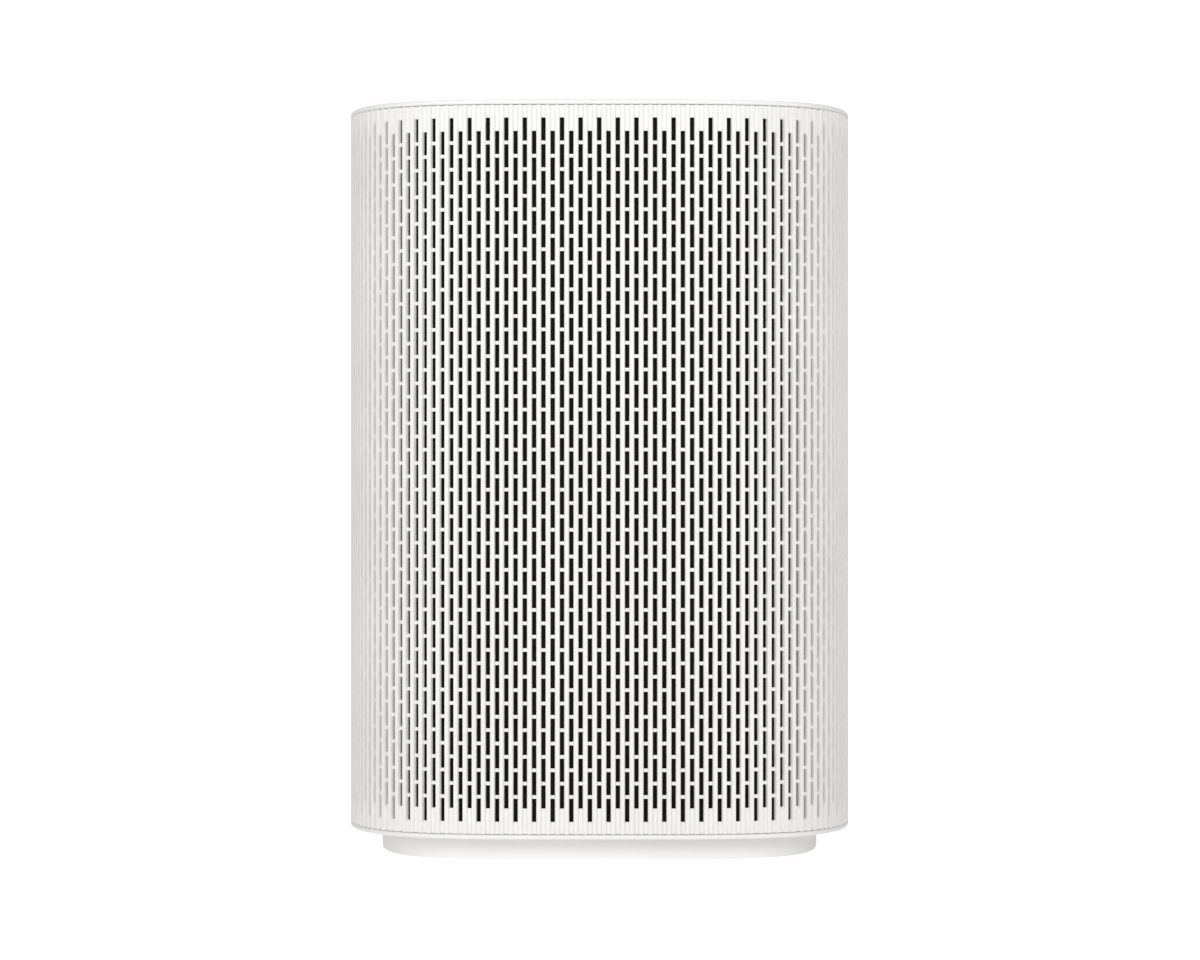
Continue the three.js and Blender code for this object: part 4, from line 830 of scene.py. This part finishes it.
# Glass-epoxy circuit board: green solder mask with a fine weave under it and faint copper tracks.
green_board, tree, shader, place = begin("green_glass_epoxy_board", "#1F5A38", 0.35, 1.55)
tracks = add(tree, "ShaderNodeTexBrick", {"Vector": place, "Scale": 100.0, "Color1": linear("#1C5534"),
                                          "Color2": linear("#23643F"), "Mortar": linear("#3B8A5A"),
                                          "Mortar Size": 0.03, "Bias": 0.2}, shader.inputs["Base Color"])
add(tree, "ShaderNodeBump", {"Height": tracks.outputs["Fac"], "Distance": 0.05 * MM},
    shader.inputs["Normal"])
shader.inputs["Coat Weight"].default_value = 0.3
# Component bodies, black epoxy: matt with a faint pebble.
epoxy = moulded("black_epoxy_package", "#202021", "#2A2A2B", 0.5, 0.65, 0.4, 0.03, 1.55)


def packages(places, level):
    """Surface-mounted components: flat blocks with bevelled tops, as (x, y, width, depth, height)."""
    blocks = []
    for x, y, wide, deep, tall in places:
        outline = oblong(x - wide / 2, x + wide / 2, y - deep / 2, y + deep / 2)
        blocks.append(slab([outline], level, level + tall, 0.2))
    return gathered(blocks)


driver_board = piece("motor_driver_board", slab([arc(37.4, count=96)], 317.9, 319.5, 0.1), green_board)
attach(driver_board, "chassis")
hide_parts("driver_board")
driver_parts = [(-12, 8, 7, 7, 1.2), (8, 10, 6, 5, 2), (18, -6, 5, 9, 3), (-16, -12, 4, 4, 1),
                (0, -14, 12, 5, 6), (-4, 22, 3, 1.6, 0.9), (4, 22, 3, 1.6, 0.9), (22, 10, 3, 1.6, 0.9)]
driver_chips = piece("driver_components", packages(driver_parts, 319.5), epoxy)
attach(driver_chips, "chassis")

# ---- Top cap ----------------------------------------------------------------------------------
# The flat lid of the body in white ABS, with a softly rounded rim. It clips into the shell by a skirt,
# and a collar in its middle lines the outlet and ends in the ledge that the grille rests on.

cap = {"bottom": 362.2, "top": 364.6, "outlet": 94.0, "ledge_top": 357.1, "ledge": 91.0, "collar": 97.7}
lid = slab([plan(0), arc(cap["outlet"], count=128)], cap["bottom"], cap["top"], 0.7)
lid_skirt = slab([plan(4.5), plan(6.5)], cap["bottom"] - 9, cap["bottom"] + 1, 0.3)
collar = turned([(cap["outlet"] + 0.05, cap["bottom"] + 1), (cap["outlet"] + 0.05, cap["ledge_top"]),
                 (cap["ledge"], cap["ledge_top"]), (cap["ledge"], cap["ledge_top"] - 2),
                 (cap["collar"], cap["ledge_top"] - 2), (cap["collar"], cap["bottom"] + 1)], 128, 0.2)
top_cap = piece("top_lid", combined(lid, [lid_skirt, collar], "UNION"), white_abs)
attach(top_cap, "chassis")
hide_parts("top_cap")

# ---- Outlet grille ----------------------------------------------------------------------------
# Twenty-four thin radial bars between two hoops, moulded in one in white ABS and dropped into the
# collar. Each bar has a rounded crest, and the hoops are slightly taller than the bars.

grille = {"inner": 38.2, "outer": 93.7, "bottom": 357.4, "top": 361.4, "hoop": 2.4, "bars": 24, "bar": 1.6}


def grille_bar():
    """One bar along +X, swept from hoop to hoop with a rounded crest and foot."""
    low, high, half = grille["bottom"] + 0.5, grille["top"] - 0.5, grille["bar"] / 2
    section = softened(oblong(-half, half, low, high), 0.65, 4)
    return lofted([[(x, y, z) for y, z in section] for x in (grille["inner"] + 0.5, grille["outer"] - 0.5)])


hoops = [turned(oblong(r, r + grille["hoop"], grille["bottom"], grille["top"]), 128, 0.5)
         for r in (grille["inner"], grille["outer"] - grille["hoop"])]
bar = grille_bar()
bars = [moved(bar, turn=360 * k / grille["bars"]) for k in range(grille["bars"])]
outlet_grille = piece("radial_outlet_grille", combined(hoops[0], [hoops[1], *bars], "UNION"), white_abs)
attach(outlet_grille, "chassis")
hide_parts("outlet_grille")

# ---- Control panel ----------------------------------------------------------------------------
# A white ABS disc with a skirt in the middle of the grille, with a round hole for each button. A ring
# of milky polycarbonate round it carries light up from the board underneath.

button_x = {"power": -15.0, "mode": 15.0}
disc_loops = [arc(36, count=128)] + [arc(8.8, count=64, centre=(x, 0)) for x in button_x.values()]
panel_skirt = turned(oblong(33.6, 36, 352.7, 360), 128, 0.3)
panel_solid = combined(slab(disc_loops, 359.0, 361.4, 0.4), [panel_skirt], "UNION")
control_panel = piece("panel_disc", panel_solid, white_abs)
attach(control_panel, "chassis")
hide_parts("control_panel")

# Milky polycarbonate light guide: translucent white with a satin face, unlit.
milky_guide, tree, shader, place = begin("milky_polycarbonate", "#E6ECEE", 0.3, 1.585)
blotched(tree, shader, place, 20, "#E8EEF0", "#E1E8EB", 0.26, 0.36)
satin = add(tree, "ShaderNodeTexNoise", {"Vector": place, "Scale": 1500.0, "Detail": 2.0})
add(tree, "ShaderNodeBump", {"Height": satin.outputs["Fac"], "Distance": 0.01 * MM},
    shader.inputs["Normal"])
shader.inputs["Subsurface Weight"].default_value = 0.4
shader.inputs["Subsurface Scale"].default_value = 0.002
light_ring = piece("light_guide_ring", turned(oblong(36.3, 37.9, 352.4, 361.4), 128, 0.45), milky_guide)
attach(light_ring, "chassis")
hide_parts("light_ring")

control_board = piece("panel_circuit_board", slab([arc(36, count=96)], 350.8, 352.4, 0.1), green_board)
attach(control_board, "chassis")
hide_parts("control_board")

# ---- Buttons ----------------------------------------------------------------------------------
# Two round keys in white ABS with a slightly dished top, a flange that keeps them in the panel and a
# stem over the switch. Each has a plain moulded mark: a broken ring with a bar, and a small leaf of fan.

# The marks are pad-printed in grey ink: flat, a little glossier than the key.
grey_ink = moulded("pad_printed_grey_ink", "#8A8B8C", "#929394", 0.35, 0.45, 0.5, 0.01, 1.5)


def key_mesh():
    """A key: dished top, flange and stem."""
    dish_radius, dish_rim, rim_level = 60.0, 7.9, 361.8
    rise = math.sqrt(dish_radius ** 2 - dish_rim ** 2)
    top = [(r, rim_level - (math.sqrt(dish_radius ** 2 - r * r) - rise))
           for r in (dish_rim, 6.5, 5, 3.4, 1.7, 0)]
    sides = [(0, 353.8), (2.4, 353.8), (2.4, 357.5), (9.7, 357.5), (9.7, 358.7), (8.5, 358.7), (8.5, 361.3),
             (8.3, 361.65)]
    return turned(sides + top, 96, 0.12)


def mark_mesh(kind):
    """A thin printed mark in the dish of a key."""
    low, high = 361.28, 361.42
    if kind == "power":
        ring_outline = list(arc(3.0, 125, 415, 40)) + list(arc(2.5, 415, 125, 40))
        shapes = [slab([outline], low, high, 0) for outline in (ring_outline, oblong(-0.25, 0.25, 0.6, 3.6))]
    else:
        leaf = [(0.5 + 1.2 * math.cos(a) + 1.1, 0.75 * math.sin(a))
                for a in np.linspace(0, 2 * math.pi, 24, endpoint=False)]
        shapes = [moved(slab([leaf], low, high, 0), turn=90 + 120 * k) for k in range(3)]
        shapes.append(slab([arc(0.45, count=20)], low, high, 0))
    return gathered(shapes)


def spring_mesh():
    """A compression spring: a round wire wound 3 turns, with its last quarter turn at each end level."""
    wire, radius, low, high, turns = 0.3, 3.9, 353.0, 356.9, 3
    rings = []
    for t in np.linspace(0, 1, 32 * turns + 1):
        rise = min(1, max(0, (t * turns - 0.25) / (turns - 0.5)))
        a = 2 * math.pi * turns * t
        around = [(radius + wire * math.cos(b), wire * math.sin(b))
                  for b in np.linspace(0, 2 * math.pi, 10, endpoint=False)]
        rings.append([(r * math.cos(a), r * math.sin(a), low + (high - low) * rise + up) for r, up in around])
    return lofted(rings)


for name, x in button_x.items():
    key = piece(f"{name}_key_cap", moved(key_mesh(), x), white_abs)
    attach(key, f"{name}_key")
    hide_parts(f"{name}_button")
    mark = piece(f"{name}_key_mark", moved(mark_mesh(name), x), grey_ink)
    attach(mark, f"{name}_key")
    coil_spring = piece(f"{name}_return_spring", moved(spring_mesh(), x), zinc_steel, 60)
    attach(coil_spring, "chassis")
    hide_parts(f"{name}_button_spring")
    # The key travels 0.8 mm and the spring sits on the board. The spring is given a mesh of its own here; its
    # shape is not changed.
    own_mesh(coil_spring)

# ---- Outer shell ------------------------------------------------------------------------------
# One tall sleeve in white ABS with 198 upright ribs. The grooves between them are deep and narrow, and
# 26 long slots are pierced through the floor of each, half a pitch lower in every second groove.
# A plain window is left at the back for the power inlet.

shell = {"bottom": 14.7, "top": 361.9, "wall": 2.6, "rib": 1.4, "mouth": 1.225, "floor": 1.0, "columns": 198}
slots = {"count": 26, "length": 11.08, "pitch": 12.72, "first": (5.95, 12.31)}
window = {"low": 28.5, "high": 48.3, "columns": 3}
SOFT_EDGE = 0.12


def stations(count):
    """Evenly spaced places round the plan from the middle of the front: point, forward and outward."""
    point = plan(0, count=count)
    near = plan(0, count=count * 8)
    forward = np.roll(near, -1, 0)[::8] - np.roll(near, 1, 0)[::8]
    forward /= np.linalg.norm(forward, axis=1)[:, None]
    return point, forward, np.column_stack([forward[:, 1], -forward[:, 0]])


def shell_mesh():
    columns = shell["columns"]
    point, forward, outward = stations(2 * columns)
    verts, faces, known = [], [], {}
    back = columns // 2
    split = {k for k in range(back - window["columns"], back + window["columns"] + 1)}

    def at(line, xy, level):
        key = (line, round(level, 3))
        if key not in known:
            known[key] = len(verts)
            verts.append((xy[0], xy[1], level))
        return known[key]

    for k in range(columns):
        spans = [(shell["bottom"], shell["top"])]
        if k in split:
            spans = [(shell["bottom"], window["low"]), (window["high"], shell["top"])]
        first = shell["top"] - slots["first"][k % 2]
        cuts = [(first - j * slots["pitch"] - slots["length"], first - j * slots["pitch"])
                for j in range(slots["count"])][::-1]
        if k in split:
            cuts = [c for c in cuts if c[1] < window["low"] - 1 or c[0] > window["high"] + 1]
        here = 2 * k
        before, after = (here - 1) % (2 * columns), here + 1

        def line(side, aside, depth):
            xy = point[here] + forward[here] * aside * side - outward[here] * depth
            return (k, side, aside, depth), xy

        def rib(station, depth):
            return (station, depth), point[station] - outward[station] * depth

        outer = [rib(before, 0), line(-1, shell["mouth"] + SOFT_EDGE, 0), line(-1, shell["mouth"], SOFT_EDGE),
                 line(-1, shell["floor"], shell["rib"]), line(1, shell["floor"], shell["rib"]),
                 line(1, shell["mouth"], SOFT_EDGE), line(1, shell["mouth"] + SOFT_EDGE, 0), rib(after, 0)]
        inner = [rib(after, shell["wall"]), line(1, shell["floor"], shell["wall"]),
                 line(-1, shell["floor"], shell["wall"]), rib(before, shell["wall"])]
        edges = {before: k in split or (k - 1) % columns in split,
                 after: k in split or (k + 1) % columns in split}

        for low, high in spans:
            inside = [c for c in cuts if low < c[0] and c[1] < high]
            stops = [low] + [level for c in inside for level in c] + [high]

            def levels(corner):
                if len(corner[0]) == 4:
                    return stops if corner[0][3] in (shell["rib"], shell["wall"]) else [low, high]
                marks = [window["low"], window["high"]] if edges[corner[0][0]] else []
                return [low] + [m for m in marks if low < m < high] + [high]

            def strip(a, b):
                up = [at(a[0], a[1], level) for level in levels(a)]
                down = [at(b[0], b[1], level) for level in reversed(levels(b))]
                faces.append(up + down)

            for a, b in ((0, 1), (1, 2), (2, 3), (4, 5), (5, 6), (6, 7)):
                strip(outer[a], outer[b])
            strip(inner[0], inner[1])
            strip(inner[2], inner[3])
            for index, (bottom, top) in enumerate(zip(stops[:-1], stops[1:])):
                corners = [outer[3], outer[4], inner[1], inner[2]]
                ring = [[at(c[0], c[1], level) for c in corners] for level in (bottom, top)]
                pairs = [(0, 1), (2, 3)] if index % 2 == 0 else [(1, 2), (3, 0)]
                faces.extend([ring[0][a], ring[0][b], ring[1][b], ring[1][a]] for a, b in pairs)
                if index % 2:
                    faces.extend(ring)
            for level in (low, high):
                faces.append([at(c[0], c[1], level) for c in outer + inner])
        if k in split:
            for station, neighbour in ((before, (k - 1) % columns), (after, (k + 1) % columns)):
                if neighbour not in split:
                    a, b = rib(station, 0), rib(station, shell["wall"])
                    faces.append([at(a[0], a[1], window["low"]), at(a[0], a[1], window["high"]),
                                  at(b[0], b[1], window["high"]), at(b[0], b[1], window["low"])])
    return welded(verts, faces)


outer_shell = piece("slotted_shell", shell_mesh(), white_abs, 20)
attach(outer_shell, "chassis")
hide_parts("outer_shell")

# ---- Prefilter mesh ---------------------------------------------------------------------------
# A sleeve of dark woven nylon that lines the shell and catches hair and lint. Its threads are 0.2 mm
# thick and 0.5 mm apart, welded to a thin frame, and it is what shows black through the slots.

mesh_sleeve = {"inset": 3.2, "thick": 0.7, "bottom": 14.7, "top": 361.6}
# Woven black nylon, matt, with a painted highlight on the threads and painted shade in the gaps. Threads are
# drawn 1 mm apart.
woven_nylon, tree, shader, place = begin("black_woven_nylon", "#161617", 0.8, 1.53)
shader.inputs["Specular IOR Level"].default_value = 0.2
cloth = add(tree, "ShaderNodeUVMap", {"uv_map": "cloth"}).outputs["UV"]
thread_pitch = 1.0
threads = [add(tree, "ShaderNodeTexWave", {
    "bands_direction": way, "Vector": cloth, "Scale": math.pi / 10 / (thread_pitch * MM), "Distortion": 0.0})
    for way in ("X", "Y")]
weave_and_painted_light = add(tree, "ShaderNodeMath", {"operation": "MAXIMUM", 0: threads[0].outputs["Fac"],
                                       1: threads[1].outputs["Fac"]})
# Painted highlight and shade: the colour is near black in the gaps between threads and dark grey on the
# threads.
add(tree, "ShaderNodeMix", {"data_type": "RGBA", 0: weave_and_painted_light.outputs[0],
                            6: linear("#020202"), 7: linear("#141415")}, shader.inputs["Base Color"])
add(tree, "ShaderNodeMapRange", {"Value": weave_and_painted_light.outputs[0], "To Min": 0.95, "To Max": 0.62},
    shader.inputs["Roughness"])
add(tree, "ShaderNodeBump", {"Height": weave_and_painted_light.outputs[0], "Distance": 0.2 * MM}, shader.inputs["Normal"])


def sleeve_mesh():
    """The sleeve's wall with a window for the inlet, and a cloth map in metres along and up it."""
    count = 396
    outer = plan(mesh_sleeve["inset"], count=count)
    inner = plan(mesh_sleeve["inset"] + mesh_sleeve["thick"], count=count)
    levels = [mesh_sleeve["bottom"], 29.2, 47.6, mesh_sleeve["top"]]
    near_back = [i for i in range(count) if outer[i][1] > 0 and abs(outer[i][0]) < 13.8]
    first, last = min(near_back), max(near_back)
    verts = [(x, y, z) for z in levels for ring in (outer, inner) for x, y in ring]

    def vert(level, side, i):
        return (2 * level + side) * count + i % count

    faces = []
    for i in range(count):
        hole = first <= i < last
        for band in range(3):
            if not (hole and band == 1):
                faces += [(vert(band, side, i), vert(band, side, i + 1), vert(band + 1, side, i + 1),
                           vert(band + 1, side, i)) for side in (0, 1)]
        for level in (0, 3) + ((1, 2) if hole else ()):
            faces.append((vert(level, 0, i), vert(level, 0, i + 1), vert(level, 1, i + 1), vert(level, 1, i)))
    for i in (first, last):
        faces.append((vert(1, 0, i), vert(2, 0, i), vert(2, 1, i), vert(1, 1, i)))
    made = welded(verts, faces)
    length = np.linalg.norm(outer - np.roll(outer, 1, 0), axis=1).mean()
    station = {tuple(np.round(p, 2)): i for ring in (outer, inner) for i, p in enumerate(ring)}
    cloth_map = made.uv_layers.new(name="cloth")
    for face in made.polygons:
        around = [station[tuple(np.round(made.vertices[v].co[:2], 2))] for v in face.vertices]
        wrap = max(around) - min(around) > count / 2
        for corner, i, v in zip(face.loop_indices, around, face.vertices):
            i += count if wrap and i < count / 2 else 0
            cloth_map.data[corner].uv = (i * length / 1000, made.vertices[v].co.z / 1000)
    return made


prefilter = piece("prefilter_sleeve", sleeve_mesh(), woven_nylon, 40)
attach(prefilter, "chassis")
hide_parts("prefilter_mesh")

# ---- Power inlet ------------------------------------------------------------------------------
# The two-pole mains inlet low at the back: a black glass-filled block with a keyhole socket and two
# brass pins, in a plain white ABS surround that snaps into the window of the shell.

inlet = {"z": 38.4, "half_width": 13.0, "half_height": 8.5, "front": 108.0, "back": 125.0}


def facing_back(loops, near, far, edge=0.3):
    """A plate whose outlines are drawn as seen from inside, standing upright between two depths."""
    plate = slab(loops, near, far, edge)
    plate.transform(Matrix.Rotation(math.radians(-90), 4, "X"))
    plate.transform(Matrix.Translation((0, 0, inlet["z"])))
    return plate


def rectangle(half_width, half_height, corner):
    """A rectangle round the middle, with rounded corners."""
    return softened(oblong(-half_width, half_width, -half_height, half_height), corner, 5)


pin_x = (-4.3, 4.3)
keyhole = list(arc(4.7, -90, 90, 24, (4.05, 0))) + list(arc(4.7, 90, 270, 24, (-4.05, 0)))
socket_cut = facing_back([keyhole], inlet["back"] - 12.5, inlet["back"] + 1, 0)
pin_cuts = [facing_back([arc(1.5, count=24, centre=(x, 0))], inlet["front"] - 1, inlet["back"], 0)
            for x in pin_x]
lead_in = facing_back([[(x * 1.06, y * 1.11) for x, y in keyhole]], inlet["back"] - 0.6, inlet["back"] + 1, 0)
inlet_body = facing_back([rectangle(inlet["half_width"], inlet["half_height"], 1.2)], inlet["front"],
                         inlet["back"], 0.4)
power_inlet = piece("two_pole_inlet", combined(inlet_body, [socket_cut, lead_in, *pin_cuts]), filled_nylon)
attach(power_inlet, "chassis")
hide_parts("power_inlet")

for i, x in enumerate(pin_x, 1):
    low, high = (c * 1000 for c in (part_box(f"inlet_pin_{i}")[0].y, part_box(f"inlet_pin_{i}")[1].y))
    profile = [(0, low), (1.2, low), (1.2, high - 1.0), (0.75, high), (0, high)]
    pin_mesh = turned(profile, 40, 0.15)
    pin_mesh.transform(Matrix.Rotation(math.radians(-90), 4, "X"))
    pin_mesh.transform(Matrix.Translation((x, 0, inlet["z"])))
    pin = piece(f"contact_pin_{i}", pin_mesh, turned_brass)
    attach(pin, "chassis")
    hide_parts(f"inlet_pin_{i}")

surround_mesh = facing_back([rectangle(15.4, 9.75, 1.0), rectangle(13.25, 8.75, 1.2)], 122.0, 125.2, 0.35)
surround = piece("inlet_surround", surround_mesh, white_abs)
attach(surround, "chassis")

# ---- Power module, air sensor and door switch -------------------------------------------------
# Three black ABS boxes stand on the tray outside the door's path: the power supply behind, the dust
# sensor on the right, and the switch that stops the fan when the filter door is turned.


arm = {"low": 21.4, "reach": 92.5, "root": 100.3}


def standing_box(outer, half_width, top):
    """A box on a leg, facing +X, with a rounded outline and a leg that leaves room for the door."""
    outline = softened([(arm["reach"], arm["low"]), (arm["root"], arm["low"]), (arm["root"], on_tray),
                        (outer, on_tray), (outer, top), (arm["reach"], top)], 0.8, 3)
    box = slab([outline], -half_width, half_width, 0.5)
    box.transform(Matrix.Rotation(math.radians(90), 4, "X"))
    return box


def grooved(box, outer_low, outer_high, half_width, levels):
    """Cut shallow level grooves, or vents, into the outer face of a box that faces +X."""
    slot = [oblong(outer_low, outer_high, -half_width, half_width)]
    return combined(box, [slab(slot, level, level + 1.2, 0) for level in levels])


module = grooved(standing_box(107.7, 30, 111.4), 106.9, 109, 22, [40 + 4 * k for k in range(16)])
power_module = piece("power_supply_box", moved(module, turn=90), black_abs)
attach(power_module, "chassis")
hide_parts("power_module")

sensor_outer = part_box("air_sensor")[1].x * 1000
sensor_box = standing_box(sensor_outer, 19, 55.4)
sensor_cuts = [slab([oblong(sensor_outer - 1.5, sensor_outer + 1, y, y + 1.6)], 28, 48, 0)
               for y in (-13, -9, -5, -1, 3, 7, 11)]
air_sensor = piece("dust_sensor_box", combined(sensor_box, sensor_cuts), black_abs)
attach(air_sensor, "chassis")
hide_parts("air_sensor")

well = slab([arc(1.4, count=32, centre=(door["wall_middle"], 0))], 20, 31.4, 0)
switch_box = combined(standing_box(106.3, 6, 33.4), [well])
door_switch = piece("door_micro_switch", moved(switch_box, turn=-90), black_abs)
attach(door_switch, "chassis")
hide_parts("door_switch")

plunger_low, plunger_high = (c.z * 1000 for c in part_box("switch_plunger"))
plunger_profile = [(0, plunger_low), (0.6, plunger_low), (1.0, plunger_low + 0.45), (1.1, plunger_low + 0.9),
                   (1.1, plunger_high), (0, plunger_high)]
plunger = piece("switch_plunger_pin", moved(turned(plunger_profile, 40, 0.1), 0, -door["wall_middle"]),
                turned_brass)
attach(plunger, "plunger")
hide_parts("switch_plunger")
